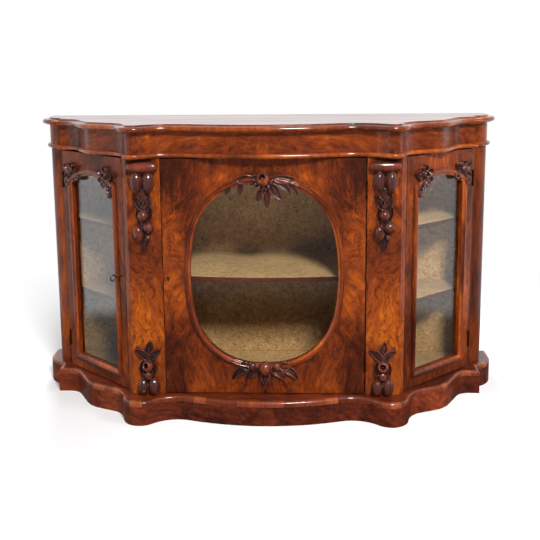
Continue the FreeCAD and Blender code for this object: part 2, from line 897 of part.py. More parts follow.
def door_key(key_along):
    """Key in its lock: shank, bit, collar and an open bow."""
    outward = FreeCAD.Vector(0, 1, 0)
    tip = FreeCAD.Vector(key_along, -key_reach_in, lock_height)
    shank = Part.makeCylinder(key_shank_radius, key_reach_in + key_reach_out, tip, outward)
    collar = Part.makeCylinder(
        key_collar_radius, key_collar_length,
        FreeCAD.Vector(key_along, key_reach_out - key_collar_length, lock_height), outward,
    )
    bow_centre = FreeCAD.Vector(key_along, key_reach_out + key_bow_radius - key_bow_wire / 2, lock_height)
    bow = Part.makeTorus(key_bow_radius, key_bow_wire, bow_centre, ACROSS)
    bit = slab(
        key_along - key_bit_thickness / 2, -key_reach_in, lock_height - key_bit_height,
        key_bit_thickness, key_bit_length, key_bit_height,
    )
    return shank.fuse([collar, bow, bit])


# Hinges, in a door's own frame

def hinge_levels():
    height = door_head - door_foot
    return (door_foot + height * hinge_low_share, door_foot + height * hinge_high_share)


def pin_place():
    return -door_hinge_gap / 2, knuckle_proud


def knuckle(z_low, z_high, bore):
    along, out = pin_place()
    barrel = Part.makeCylinder(knuckle_radius, z_high - z_low, FreeCAD.Vector(along, out, z_low))
    if bore:
        hole = Part.makeCylinder(pin_radius + pin_clearance, z_high - z_low, FreeCAD.Vector(along, out, z_low))
        return barrel.cut(hole)
    return barrel


def leaf_web(near, z_low, height):
    """Flat leaf between the knuckle and its screws."""
    along = -leaf_thickness if near else -door_hinge_gap
    return slab(along, -leaf_depth, z_low, leaf_thickness, leaf_depth + knuckle_proud, height)


def cleared(leaf, z_low, z_high):
    """Leaf cut back around the other leaf's knuckles, in the stretch between two heights."""
    along, out = pin_place()
    room = Part.makeCylinder(
        knuckle_radius + knuckle_gap, z_high - z_low, FreeCAD.Vector(along, out, z_low))
    return leaf.cut(room)


def door_leaf(level):
    half = leaf_height / 2
    low = level - leaf_height * knuckle_share / 2
    high = level + leaf_height * knuckle_share / 2
    leaf = leaf_web(True, level - half, leaf_height)
    leaf = cleared(leaf, level - half, low)
    leaf = cleared(leaf, high, level + half)
    along, out = pin_place()
    leaf = leaf.cut(Part.makeCylinder(
        pin_radius + pin_clearance, leaf_height, FreeCAD.Vector(along, out, level - half)))
    return leaf.fuse(knuckle(low, high, True))


def carcass_leaf(level):
    half = leaf_height / 2
    low = level - leaf_height * knuckle_share / 2 - knuckle_gap
    high = level + leaf_height * knuckle_share / 2 + knuckle_gap
    leaf = leaf_web(False, level - half, leaf_height)
    leaf = cleared(leaf, low, high)
    along, out = pin_place()
    pin = Part.makeCylinder(
        pin_radius, leaf_height + 2 * pin_head_height, FreeCAD.Vector(along, out, level - half - pin_head_height))
    return leaf.fuse([knuckle(level - half, low, False), knuckle(high, level + half, False), pin])


# Carving, built on a face: across, up, and outwards from the face

def round_bar(half_length, radius):
    """A bar with round ends lying across, about the origin."""
    straight = half_length - radius
    c = math.sqrt(0.5) * radius
    points = [FreeCAD.Vector(-half_length, 0, 0), FreeCAD.Vector(-straight, 0, radius),
              FreeCAD.Vector(straight, 0, radius), FreeCAD.Vector(half_length, 0, 0)]
    left = Part.Arc(points[0], FreeCAD.Vector(-straight - c, 0, c), points[1]).toShape()
    right = Part.Arc(points[2], FreeCAD.Vector(straight + c, 0, c), points[3]).toShape()
    wire = Part.Wire([left, Part.makeLine(points[1], points[2]), right, Part.makeLine(points[3], points[0])])
    return outward(Part.Face(wire).revolve(ORIGIN, ACROSS, 360))


def ball(x, out, z, radius):
    """A small ball stands lower than the others, so that it still grows out of the face."""
    return Part.makeSphere(radius, FreeCAD.Vector(x, min(out, radius * seat_share), z), FreeCAD.Vector(0, 1, 0))


def spindle(x, out, z, radius, half_length):
    """A long round form such as a pod, a nut or a fruit, its axis upright."""
    solid = round_bar(half_length, radius)
    solid.rotate(ORIGIN, FreeCAD.Vector(0, 1, 0), 90)
    solid.translate(FreeCAD.Vector(x, min(out, radius * seat_share), z))
    return solid


def cushion(x, out, z, half_length, radius):
    """A rounded bar lying across, for the bun under the frieze."""
    solid = round_bar(half_length, radius)
    solid.translate(FreeCAD.Vector(x, out, z))
    return solid


def drilled_bud(out, level, radius, hole_radius):
    """A round bud with a hole drilled down into its front."""
    bud = ball(0, out, level, radius)
    lean = FreeCAD.Vector(0, 2, 1).normalize()
    start = bud.BoundBox.Center + lean * (radius / 2)
    return bud.cut(Part.makeCylinder(hole_radius, radius, start, lean))


def leaf_form(x, z, angle, length, width, rise):
    """A pointed leaf on the face: its sides fall from a rib, and the rib falls to both ends."""
    half = length / 2
    tip = FreeCAD.Vector(length, 0, 0)
    upper = Part.Arc(ORIGIN, FreeCAD.Vector(half, 0, width / 2), tip).toShape()
    lower = Part.Arc(tip, FreeCAD.Vector(half, 0, -width / 2), ORIGIN).toShape()
    blade = Part.Face(Part.Wire([upper, lower])).extrude(FreeCAD.Vector(0, rise, 0))
    low = leaf_edge_share * rise
    along = ((-width, 0), (-width, low), (0, low), (leaf_crown_share * length, rise),
             (length, low), (length + width, low), (length + width, 0))
    across = ((-width, 0), (-width, low), (-width / 2, low), (0, rise), (width / 2, low), (width, low), (width, 0))
    ridge = Part.Face(Part.makePolygon([FreeCAD.Vector(a, h, -width) for a, h in along + along[:1]]))
    roof = Part.Face(Part.makePolygon([FreeCAD.Vector(-width, h, c) for c, h in across + across[:1]]))
    blade = blade.common(ridge.extrude(FreeCAD.Vector(0, 0, 2 * width)))
    blade = blade.common(roof.extrude(FreeCAD.Vector(length + 2 * width, 0, 0)))
    blade.rotate(ORIGIN, FreeCAD.Vector(0, 1, 0), -angle)
    blade.translate(FreeCAD.Vector(x, 0, z))
    return blade


def united(pieces):
    """Carved forms grown into each other, kept in front of the face that they stand on."""
    span = total_height
    behind = slab(-span, -span, -span, 3 * span, span, 3 * span)
    fronts = [piece.cut(behind) for piece in pieces]
    return fronts[0].fuse(fronts[1:])


def on_pilaster(shape):
    """Turn a carving to face the front and set it on the right pilaster's face."""
    shape.rotate(ORIGIN, UP, 180)
    shape.translate(at(opening_half_width + pilaster_width / 2, face_depth, 0))
    return shape


def upper_carving():
    """Bun, two pods, a leaf spray, three fruits and a tail, hanging down the pilaster."""
    w = pilaster_width
    out = w * carving_depth_share
    rise = w * leaf_rise_share
    top = head_height
    neck_wide, neck_deep, neck_tall = [share * w for share in neck_shares]
    pieces = [cushion(bun_shares[0] * w, out, top + bun_shares[1] * w, bun_shares[2] * w, bun_shares[3] * w)]
    pieces.append(slab(-neck_wide / 2, 0, top - neck_tall, neck_wide, neck_deep, neck_tall))
    for x, z in pod_shares:
        pieces.append(spindle(x * w, out, top + z * w, pod_radius_share * w, pod_half_length_share * w))
    for angle, length, width in spray_leaf_shares:
        pieces.append(leaf_form(0, top + spray_base_share * w, angle, length * w, width * w, rise))
    for x, z, radius in round_fruit_shares:
        pieces.append(ball(-x * w, out, top + z * w, radius * w))
    x, z, radius, half = long_fruit_shares
    pieces.append(spindle(-x * w, out, top + z * w, radius * w, half * w))
    for x, z, angle, length, width in fruit_leaf_shares + (tail_shares,):
        pieces.append(leaf_form(-x * w, top + z * w, 180 - angle, length * w, width * w, rise))
    return on_pilaster(united(pieces))


def lower_carving():
    """Crest of leaves, a drilled bud in its collar, a tongue and two nuts on the deck."""
    w = pilaster_width
    out = w * carving_depth_share
    rise = w * leaf_rise_share
    foot = plinth_height
    nut_half = nut_half_length_share * w
    pieces = []
    for side in (-1, 1):
        pieces.append(spindle(side * nut_offset_share * w, out, foot + nut_half, nut_radius_share * w, nut_half))
    pieces.append(ball(0, out, foot + tongue_shares[1] * w, tongue_shares[2] * w))
    bud_level = foot + bud_shares[1] * w
    bud_radius = bud_shares[2] * w
    pieces.append(drilled_bud(out, bud_level, bud_radius, bud_hole_share * w))
    for x, z, angle, length, width in collar_leaf_shares:
        pieces.append(leaf_form(x * w, foot + z * w, angle, length * w, width * w, rise))
    for angle, length, width in crest_leaf_shares:
        pieces.append(leaf_form(0, foot + crest_base_share * w, angle, length * w, width * w, rise))
    return on_pilaster(united(pieces))


def moulding_room(outline, width, proud):
    """The space of a door moulding, kept free of carving."""
    return panel(outline(width), 0, proud).cut(panel(outline(0), 0, proud))


def united_round(pieces, room):
    """Carved forms over a door's face, cut back where the moulding runs under them."""
    span = total_height
    behind = slab(-span, -span, -span, 3 * span, span, 3 * span)
    fronts = [piece.cut(behind).cut(room) for piece in pieces]
    return fronts[0].fuse(fronts[1:])


def on_centre_door(pieces):
    """Carving laid out across the face as it is seen, turned into the door's own frame."""
    room = moulding_room(oval_items, oval_moulding_width, oval_moulding_proud)
    placed = []
    for piece in pieces:
        piece = flip(piece)
        piece.translate(FreeCAD.Vector(centre_hinge_x, 0, 0))
        placed.append(piece)
    return hang(united_round(placed, room), CENTRE)


def centre_top_carving():
    """Drilled bud with petals and trailing leaves over the head of the oval."""
    w = oval_half_width
    level = oval_centre_height + oval_half_height
    out = oval_moulding_proud
    rise = out + corner_rise_share * w
    bud_level = level + top_bud_shares[0] * w
    bud_radius = top_bud_shares[1] * w
    pieces = [drilled_bud(out, bud_level, bud_radius, top_bud_shares[2] * w)]
    for x, z, angle, length, width in top_fold_shares + top_leaf_shares:
        pieces.append(leaf_form(x * w, level + z * w, angle, length * w, width * w, rise))
    for angle, length, width in top_petal_shares:
        c, s = turn(angle)
        start = bud_radius / 2
        pieces.append(leaf_form(c * start, bud_level + s * start, angle, length * w, width * w, rise))
    return on_centre_door(pieces)


def centre_foot_carving():
    """Ball with two small balls, scrolls and five leaves under the foot of the oval."""
    w = oval_half_width
    level = oval_centre_height - oval_half_height
    out = oval_moulding_proud
    rise = out + corner_rise_share * w
    pieces = []
    for x, z, radius in foot_ball_shares:
        pieces.append(ball(x * w, out, level + z * w, radius * w))
    for x, z, angle, length, width in foot_scroll_shares + foot_leaf_shares:
        pieces.append(leaf_form(x * w, level + z * w, angle, length * w, width * w, rise))
    return on_centre_door(pieces)


def arch_carving():
    """Flower, scroll ends and leaves at both corners of the arch."""
    w = side_door_length
    level = arch_crown_height
    out = arch_moulding_proud
    rise = out + corner_rise_share * w
    room = moulding_room(arch_items, arch_moulding_width, arch_moulding_proud)
    made = []
    for balls, leaves in ((outer_ball_shares, outer_leaf_shares), (inner_ball_shares, inner_leaf_shares)):
        pieces = [ball(x * w, out, level + z * w, radius * w) for x, z, radius in balls]
        for x, z, angle, length, width in leaves:
            pieces.append(leaf_form(x * w, level + z * w, angle, length * w, width * w, rise))
        made.append(hang(united_round(pieces, room), SIDE))
    return made


# Doors put together

def build():
    save("plinth_front", plinth_front())
    end = plinth_end()
    save("plinth_right", end)
    save("plinth_left", flip(end))
    save("plinth_back", plinth_back())
    save("plinth_edge_band", plinth_edge_band())
    save("base_board", base_board())
    save("sub_top", sub_top())
    save("frieze_bead", frieze_bead())
    save("frieze_front", frieze_front())
    end = frieze_end()
    save("frieze_right", end)
    save("frieze_left", flip(end))
    save("top_board", top_board())
    save("top_moulding", top_moulding())

    side_strike = strike_mortise(SIDE, side_door_length)
    centre_strike = strike_mortise(CENTRE, centre_door_length)
    plain = pilaster()
    save("pilaster_right", plain.cut(side_strike))
    save("pilaster_left", flip(plain).cut(flip(side_strike)).cut(centre_strike))
    side_plate = strike_plate(SIDE, side_door_length)
    save("strike_plates", side_plate, flip(side_plate), strike_plate(CENTRE, centre_door_length))
    post = rear_post()
    save("post_right", post)
    save("post_left", flip(post))
    wall = partition()
    save("partition_right", wall)
    save("partition_left", flip(wall))
    save("back_panel", back_panel())

    save("centre_shelf", centre_shelf())
    for name, height in zip(("lower", "upper"), side_shelf_heights):
        shelf = side_shelf(height)
        save("right_shelf_" + name, shelf)
        save("left_shelf_" + name, flip(shelf))
    save("centre_cloth", *centre_cloth())
    cloth = side_cloth()
    save("right_cloth", *cloth)
    save("left_cloth", *[flip(piece) for piece in cloth])

    upper = upper_carving()
    save("upper_carving_right", upper)
    shift = FreeCAD.Vector(-2 * (opening_half_width + pilaster_width / 2), 0, 0)
    save("upper_carving_left", upper.translated(shift))
    lower = lower_carving()
    save("lower_carving_right", lower)
    save("lower_carving_left", flip(lower))

    centre_key = centre_door_length - centre_key_inset
    side_key = side_door_length - key_inset
    gate = key_gate(centre_key, -case_setback, 0, 0)
    save("centre_door_frame", hang(door_frame(centre_door_length, oval_items, gate), CENTRE))
    save("centre_door_glass", hang(glass_pane(oval_items), CENTRE))
    save("centre_door_glazing_bead", hang(glazing_bead(oval_items), CENTRE))
    section = moulding_section(oval_moulding_width, oval_moulding_proud)
    save("centre_door_moulding", hang(ring_moulding(oval_items, section), CENTRE))
    save("centre_door_top_carving", centre_top_carving())
    save("centre_door_foot_carving", centre_foot_carving())
    save("centre_door_lock", *[hang(piece, CENTRE) for piece in lock_case(centre_door_length, centre_key)])
    save("centre_door_bolt", hang(lock_bolt(centre_door_length), CENTRE))
    save("centre_door_leaves", *[hang(door_leaf(level), CENTRE) for level in hinge_levels()])

    gate = key_gate(side_key, -case_setback, 0, 0)
    section = moulding_section(arch_moulding_width, arch_moulding_proud)
    side_parts = {
        "frame": [hang(door_frame(side_door_length, arch_items, gate), SIDE)],
        "glass": [hang(glass_pane(arch_items), SIDE)],
        "glazing_bead": [hang(glazing_bead(arch_items), SIDE)],
        "carving": arch_carving(),
        "moulding": [hang(ring_moulding(arch_items, section), SIDE)],
        "lock": [hang(piece, SIDE) for piece in lock_case(side_door_length, side_key)],
        "bolt": [hang(lock_bolt(side_door_length), SIDE)],
        "leaves": [hang(door_leaf(level), SIDE) for level in hinge_levels()],
    }
    for name, pieces in side_parts.items():
        save("right_door_" + name, *pieces)
        save("left_door_" + name, *[flip(piece) for piece in pieces])
    save("left_door_key", flip(hang(door_key(side_key), SIDE)))

    fixed = [hang(carcass_leaf(level), door) for door in (CENTRE, SIDE) for level in hinge_levels()]
    fixed += [flip(hang(carcass_leaf(level), SIDE)) for level in hinge_levels()]
    save("carcass_hinge_leaves", *fixed)


build()
along, out = pin_place()
print("total height", total_height)
print("centre pin", from_door(CENTRE, along, out), "side pin", from_door(SIDE, along, out))
print("side key", from_door(SIDE, side_door_length - key_inset, 0), "depth offset", depth / 2)
print("outward of the side door", turn(side_door_angle - 90), "along", turn(180 + side_door_angle))
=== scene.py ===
import contextlib
import math

import bmesh
import bpy
import numpy as np
from mathutils import Matrix, Vector


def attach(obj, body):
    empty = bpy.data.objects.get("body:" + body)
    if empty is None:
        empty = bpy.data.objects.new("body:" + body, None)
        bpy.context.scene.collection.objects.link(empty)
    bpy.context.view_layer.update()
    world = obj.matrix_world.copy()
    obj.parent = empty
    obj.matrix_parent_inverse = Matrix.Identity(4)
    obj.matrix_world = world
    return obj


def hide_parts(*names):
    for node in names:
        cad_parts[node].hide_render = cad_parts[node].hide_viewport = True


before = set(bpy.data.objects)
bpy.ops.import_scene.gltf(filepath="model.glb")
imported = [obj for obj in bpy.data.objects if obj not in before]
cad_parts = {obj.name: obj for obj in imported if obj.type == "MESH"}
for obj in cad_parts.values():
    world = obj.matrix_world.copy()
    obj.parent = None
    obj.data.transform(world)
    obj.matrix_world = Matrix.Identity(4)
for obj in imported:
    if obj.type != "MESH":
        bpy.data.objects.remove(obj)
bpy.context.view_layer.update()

bl_info = {
    "name": "Serpentine credenza",
    "version": (1, 0, 0),
    "blender": (4, 5, 0),
    "location": "View3D > Sidebar > Credenza",
    "description": "Dresses a glazed, carved walnut credenza: mouldings, carving, linings and finishes",
    "category": "Object",
}

MM = 0.001
CLOTH = 2.0 * MM    # Thickness of the lining cloth
UP = Vector((0.0, 0.0, 1.0))

# Sizes of the carcass, in millimetres, as in the part's own source
DEPTH = 430.0
OPENING_HALF_WIDTH = 309.0
PILASTER_WIDTH = 102.0
PILASTER_EDGE = OPENING_HALF_WIDTH + PILASTER_WIDTH
SIDE_BAY_WIDTH = 255.0
END_BAY_WIDTH = 96.0
HINGE_X = PILASTER_EDGE + SIDE_BAY_WIDTH
HALF_WIDTH = HINGE_X + END_BAY_WIDTH
HINGE_DEPTH = DEPTH - 142.0
FACE_DEPTH = 67.0
LOCK_X = PILASTER_EDGE + 18.3
LOCK_DEPTH = FACE_DEPTH + 22.4
PLINTH_HEIGHT = 76.0
HEAD_HEIGHT = 815.0
FRIEZE_FOOT = 829.0
FRIEZE_HEAD = 893.0
TOTAL_HEIGHT = 915.0

# Oval and arch of the doors
OVAL_HALF_WIDTH = 224.0
OVAL_HALF_HEIGHT = 283.0
OVAL_CENTRE = 456.5
OVAL_SIDE_RADIUS = 2.23 * OVAL_HALF_HEIGHT
OVAL_END_RADIUS = 2.009 * OVAL_HALF_WIDTH
OVAL_CORNER_RADIUS = 0.88 * OVAL_HALF_WIDTH
ARCH_MARGIN = 50.0
ARCH_BOTTOM = 130.0
ARCH_SPRING = 711.0
ARCH_CROWN = 743.0


# Plan and door outlines: lists of (point, setback direction), both in plan millimetres

def turn(angle):
    return math.cos(math.radians(angle)), math.sin(math.radians(angle))


def step(point, direction, distance):
    return point[0] + direction[0] * distance, point[1] + direction[1] * distance


def back(direction):
    return -direction[0], -direction[1]


def toward(start, end, reach):
    """The direction from one point to another that lies a known reach away."""
    return (end[0] - start[0]) / reach, (end[1] - start[1]) / reach


def around(centre, reach, angles):
    """Points of an ellipse at some angles."""
    return [(centre[0] + reach[0] * math.cos(a), centre[1] + reach[1] * math.sin(a)) for a in angles]


def arc_points(centre, first, last, radius, count):
    """Points of an arc under half a turn, between two unit directions."""
    start = math.atan2(first[1], first[0])
    sweep = math.atan2(last[1], last[0]) - start
    sweep = (sweep + math.pi) % (2 * math.pi) - math.pi
    return around(centre, (radius, radius), [start + sweep * i / count for i in range(count + 1)])


def line_points(first, last, count):
    shares = [i / count for i in range(count + 1)]
    return [(first[0] + (last[0] - first[0]) * s, first[1] + (last[1] - first[1]) * s) for s in shares]


def half_plan(inset):
    """Right half of the serpentine plan, set in by a distance, from the middle to the wall."""
    lobe = (PILASTER_EDGE - 27.0, 57.0)
    hollow_radius = 115.0
    ogee_radius = 70.0
    bulge_radius = 100.0
    sweep_radius = 50.0
    ear_radius = 90.0
    setback = 4.0
    reach = lobe[1] + hollow_radius
    hollow_x = OPENING_HALF_WIDTH - 41.0
    hollow = (hollow_x, lobe[1] - math.sqrt(reach ** 2 - (lobe[0] - hollow_x) ** 2))
    drop = hollow[1] - setback
    bow_radius = (hollow_x ** 2 + drop ** 2 - hollow_radius ** 2) / (2 * (hollow_radius + drop))
    bow = (0.0, setback + bow_radius)
    span = bow_radius + hollow_radius
    from_bow = toward(bow, hollow, span)
    from_lobe = toward(lobe, hollow, reach)
    contact = turn(-10.0)
    ogee = step(lobe, contact, lobe[1] + ogee_radius)
    run_c, run_s = turn(22.5)
    rise_c, rise_s = turn(58.6)
    run_start = step(ogee, (-run_s, run_c), ogee_radius)
    run_end = step(run_start, (run_c, run_s), SIDE_BAY_WIDTH - 195.0)
    bulge = step(run_end, (-run_s, run_c), bulge_radius)
    rise_start = step(bulge, (rise_s, -rise_c), bulge_radius)
    return_depth = DEPTH - 182.0
    sweep_depth = return_depth - sweep_radius
    rise_length = (sweep_depth + sweep_radius * rise_c - rise_start[1]) / rise_s
    rise_end = step(rise_start, (rise_c, rise_s), rise_length)
    sweep = step(rise_end, (rise_s, -rise_c), sweep_radius)
    notch_x = HALF_WIDTH - 60.0
    ear_x = HALF_WIDTH - ear_radius
    ear = (ear_x, DEPTH - 133.0 + math.sqrt(ear_radius ** 2 - (notch_x - ear_x) ** 2))
    notch = notch_x - inset
    ear_turn = (notch - ear_x) / (ear_radius - inset)
    ear_first = (ear_turn, -math.sqrt(1 - ear_turn ** 2))
    runs = [
        arc_points(bow, (0, -1), from_bow, bow_radius - inset, 26),
        arc_points(hollow, back(from_bow), back(from_lobe), hollow_radius + inset, 18),
        arc_points(lobe, from_lobe, contact, lobe[1] - inset, 22),
        arc_points(ogee, back(contact), (-run_s, run_c), ogee_radius + inset, 14),
    ]
    bulge_run = arc_points(bulge, (run_s, -run_c), (rise_s, -rise_c), bulge_radius - inset, 12)
    sweep_run = arc_points(sweep, (-rise_s, rise_c), (0, 1), sweep_radius + inset, 10)
    ear_run = arc_points(ear, ear_first, (1, 0), ear_radius - inset, 14)
    corner = (notch, return_depth + inset)
    runs += [
        line_points(runs[3][-1], bulge_run[0], 6),
        bulge_run,
        line_points(bulge_run[-1], sweep_run[0], 6),
        sweep_run,
        line_points(sweep_run[-1], corner, 4),
        line_points(corner, ear_run[0], 5),
        ear_run,
        line_points(ear_run[-1], (HALF_WIDTH - inset, DEPTH), 6),
    ]
    points = list(runs[0])
    for run in runs[1:]:
        points += run[1:]
    return points


def plan_path():
    """The whole plan from the left end to the right end, with its setback directions."""
    probe = 30.0
    outer = half_plan(0.0)
    inner = half_plan(probe)
    half = []
    for a, b in zip(outer, inner):
        place = Vector((a[0], a[1] - DEPTH / 2, 0.0))
        setback = Vector((b[0] - a[0], b[1] - a[1], 0.0)) / probe
        half.append((place, setback))
    other = [(Vector((-p.x, p.y, p.z)), Vector((-s.x, s.y, s.z))) for p, s in reversed(half[1:])]
    return other + half


def oval_loop(grow):
    """The oval as eight arcs, grown by a distance, about its own centre."""
    side_x = OVAL_HALF_WIDTH - OVAL_SIDE_RADIUS
    end_y = OVAL_HALF_HEIGHT - OVAL_END_RADIUS
    side_reach = OVAL_SIDE_RADIUS - OVAL_CORNER_RADIUS
    end_reach = OVAL_END_RADIUS - OVAL_CORNER_RADIUS
    span = math.hypot(side_x, end_y)
    along = (side_reach ** 2 - end_reach ** 2 + span ** 2) / (2 * span)
    across = math.sqrt(side_reach ** 2 - along ** 2)
    ux, uy = -side_x / span, end_y / span
    corner = (side_x + ux * along - uy * across, uy * along + ux * across)
    to_side = toward((side_x, 0), corner, side_reach)
    to_end = toward((0, end_y), corner, end_reach)
    quadrant = arc_points((side_x, 0), (1, 0), to_side, OVAL_SIDE_RADIUS + grow, 14)
    quadrant += arc_points(corner, to_side, to_end, OVAL_CORNER_RADIUS + grow, 16)[1:]
    quadrant += arc_points((0, end_y), to_end, (0, 1), OVAL_END_RADIUS + grow, 12)[1:]
    loop = quadrant + [(-x, y) for x, y in reversed(quadrant[:-1])]
    loop += [(-x, -y) for x, y in quadrant[1:]]
    loop += [(x, -y) for x, y in reversed(quadrant[1:-1])]
    return loop


def arch_loop(grow):
    """The arched opening of a side door, grown by a distance, from its hinge edge and the floor."""
    low = ARCH_MARGIN - grow
    length = math.hypot(HINGE_X - LOCK_X, HINGE_DEPTH - LOCK_DEPTH)
    high = length - ARCH_MARGIN + grow
    half_span = length / 2 - ARCH_MARGIN
    rise = ARCH_CROWN - ARCH_SPRING
    radius = (half_span ** 2 + rise ** 2) / (2 * rise) + grow
    centre = (length / 2, ARCH_CROWN - radius + grow)
    reach = half_span + grow
    spring = centre[1] + math.sqrt(radius ** 2 - reach ** 2)
    first = toward(centre, (high, spring), radius)
    loop = line_points((low, ARCH_BOTTOM - grow), (high, ARCH_BOTTOM - grow), 4)
    loop += line_points((high, ARCH_BOTTOM - grow), (high, spring), 8)[1:]
    loop += arc_points(centre, first, (-first[0], first[1]), radius, 24)[1:]
    loop += line_points((low, spring), (low, ARCH_BOTTOM - grow), 8)[1:-1]
    return loop


class Face:
    """A flat face of the credenza: where a place across it, up it and out of it lies."""

    def __init__(self, corner, across, out):
        self.corner = Vector(corner)
        self.across = Vector(across).normalized()
        self.out = Vector(out).normalized()

    def at(self, across, out, up):
        return (self.corner + self.across * across + self.out * out + UP * up) * MM

    def matrix(self):
        """Carries (across, out, up) in millimetres to the credenza."""
        axes = Matrix((self.across, self.out, UP)).transposed().to_4x4()
        return Matrix.Translation(self.corner * MM) @ axes @ Matrix.Scale(MM, 4)


def plan(x, depth):
    return (x, depth - DEPTH / 2, 0.0)


DOOR_RUN = Vector((LOCK_X - HINGE_X, LOCK_DEPTH - HINGE_DEPTH, 0.0)).normalized()
DOOR_OUT = Vector((-DOOR_RUN.y, DOOR_RUN.x, 0.0))
RIGHT_DOOR = Face(plan(HINGE_X, HINGE_DEPTH), DOOR_RUN, DOOR_OUT)
LEFT_DOOR = Face(plan(-HINGE_X, HINGE_DEPTH), (-DOOR_RUN.x, DOOR_RUN.y, 0.0), (-DOOR_OUT.x, DOOR_OUT.y, 0.0))
PILASTER_X = OPENING_HALF_WIDTH + PILASTER_WIDTH / 2
CENTRE_DOOR, RIGHT_PILASTER, LEFT_PILASTER = [
    Face(plan(x, FACE_DEPTH), (1.0, 0.0, 0.0), (0.0, -1.0, 0.0)) for x in (0.0, PILASTER_X, -PILASTER_X)]


# Node helpers, for materials and for geometry alike

def feed(tree, made, inputs):
    """Sets a node's sockets: a link where the value is another socket, else the value itself."""
    for key, value in inputs.items():
        socket = made.inputs[key]
        if isinstance(value, bpy.types.NodeSocket):
            tree.links.new(value, socket)
        else:
            socket.default_value = value


def node(tree, kind, inputs=None, **settings):
    made = tree.nodes.new(kind)
    for key, value in settings.items():
        setattr(made, key, value)
    feed(tree, made, inputs or {})
    return made


def calc(tree, operation, a, b=0.0):
    return node(tree, "ShaderNodeMath", {0: a, 1: b}, operation=operation).outputs[0]


def total(tree, *terms):
    """The sum of some values, each times its weight."""
    made = None
    for value, weight in terms:
        part = calc(tree, "MULTIPLY", value, weight)
        made = part if made is None else calc(tree, "ADD", made, part)
    return made


def bend(tree, operation, a, b=(0.0, 0.0, 0.0)):
    return node(tree, "ShaderNodeVectorMath", {0: a, 1: b}, operation=operation).outputs[0]


def scaled(tree, vector, amount):
    return node(tree, "ShaderNodeVectorMath", {0: vector, "Scale": amount}, operation="SCALE").outputs[0]


def vector_of(tree, *parts):
    return node(tree, "ShaderNodeCombineXYZ", dict(enumerate(parts))).outputs[0]


def parts_of(tree, vector):
    return node(tree, "ShaderNodeSeparateXYZ", {0: vector}).outputs


def spread(tree, value, low, high, to_low=0.0, to_high=1.0, **settings):
    """Carries the span from low to high onto another span."""
    ends = {0: value, 1: low, 2: high, 3: to_low, 4: to_high}
    return node(tree, "ShaderNodeMapRange", ends, **settings).outputs[0]


def object_place(tree):
    return node(tree, "ShaderNodeTexCoord").outputs["Object"]


def srgb(red, green, blue):
    """Linear colour of an 8-bit screen colour."""
    made = []
    for value in (red, green, blue):
        share = value / 255.0
        made.append(share / 12.92 if share <= 0.04045 else ((share + 0.055) / 1.055) ** 2.4)
    return (made[0], made[1], made[2], 1.0)


def linear(value):
    """A linear colour, from one number for a grey or from red, green and blue."""
    red, green, blue = value[:3] if isinstance(value, tuple) else (value, value, value)
    return (red, green, blue, 1.0)


def ramp(tree, fac, *stops):
    """A colour ramp through stops of (place, colour)."""
    made = node(tree, "ShaderNodeValToRGB", {0: fac})
    elements = made.color_ramp.elements
    while len(elements) < len(stops):
        elements.new(0.5)
    for element, (place, value) in zip(elements, stops):
        element.position = place
        element.color = linear(value)
    return made.outputs[0]


def blend_colour(tree, fac, a, b, mode="MIX"):
    made = node(tree, "ShaderNodeMix", {0: fac, 6: a, 7: b}, data_type="RGBA", blend_type=mode)
    return made.outputs[2]


def times(tree, a, b):
    return blend_colour(tree, 1.0, a, b, "MULTIPLY")


def noise(tree, place, scale, detail=2.0, roughness=0.5, distortion=0.0, output="Fac"):
    return node(tree, "ShaderNodeTexNoise", {
        "Vector": place, "Scale": scale, "Detail": detail, "Roughness": roughness,
        "Distortion": distortion}).outputs[output]


def drawn_noise(tree, place, stretch, *looks):
    """Noise drawn out along the axes where the stretch is small."""
    return noise(tree, bend(tree, "MULTIPLY", place, stretch), *looks)


def wander(tree, place, scale, amount):
    """A place moved about by a soft noise."""
    drift = noise(tree, place, scale, 1.0, output="Color")
    return bend(tree, "ADD", place, scaled(tree, bend(tree, "SUBTRACT", drift, (0.5, 0.5, 0.5)), amount))


def tree_of(material):
    """A material's node tree and its shader."""
    return material.node_tree, material.node_tree.nodes["Principled BSDF"]


def new_material(name):
    """A new material, its node tree and its shader."""
    material = bpy.data.materials.new(name)
    material.use_nodes = True
    return material, *tree_of(material)


def mixed(tree, amount, a, b):
    return node(tree, "ShaderNodeMixShader", {0: amount, 1: a, 2: b}).outputs[0]


def surface(tree, amount, a, b):
    """Shows a mix of two shaders on the surface."""
    feed(tree, tree.nodes["Material Output"], {"Surface": mixed(tree, amount, a, b)})


def roughen(tree, shader, height, strength, distance):
    bump = node(tree, "ShaderNodeBump", {"Height": height, "Strength": strength, "Distance": distance})
    feed(tree, shader, {"Normal": bump.outputs[0]})


# Wood

TONES = ("deep", "dark", "brown", "warm", "bright")
TONE_STOPS = (0.36, 0.43, 0.50, 0.57, 0.66)
GROWTH_LINE = ((0.0, 0.26), (0.07, 0.84), (0.40, 1.0), (0.80, 0.90), (0.95, 0.40))
# Colour by relief: creases and hollows darker, painted shade; ridges lighter, where the stain is rubbed
# through
RUBBED_RIDGES_AND_HOLLOW_SHADE = ((0.06, 0.16), (0.40, 0.80), (0.56, 1.0), (0.80, 1.6))
# Colour by how far a form stands out: painted light, warm and orange, on the high forms and painted shade
# near the ground
PROUD_LIGHT_AND_SHADE = ((0.30, 0.86), (0.62, (1.10, 1.02, 0.90)), (0.95, (2.10, 1.46, 0.76)))


def palette(settings, wood_name):
    """The five colours of one wood, from the finish settings."""
    return [tuple(getattr(settings, wood_name + "_" + tone)) for tone in TONES]


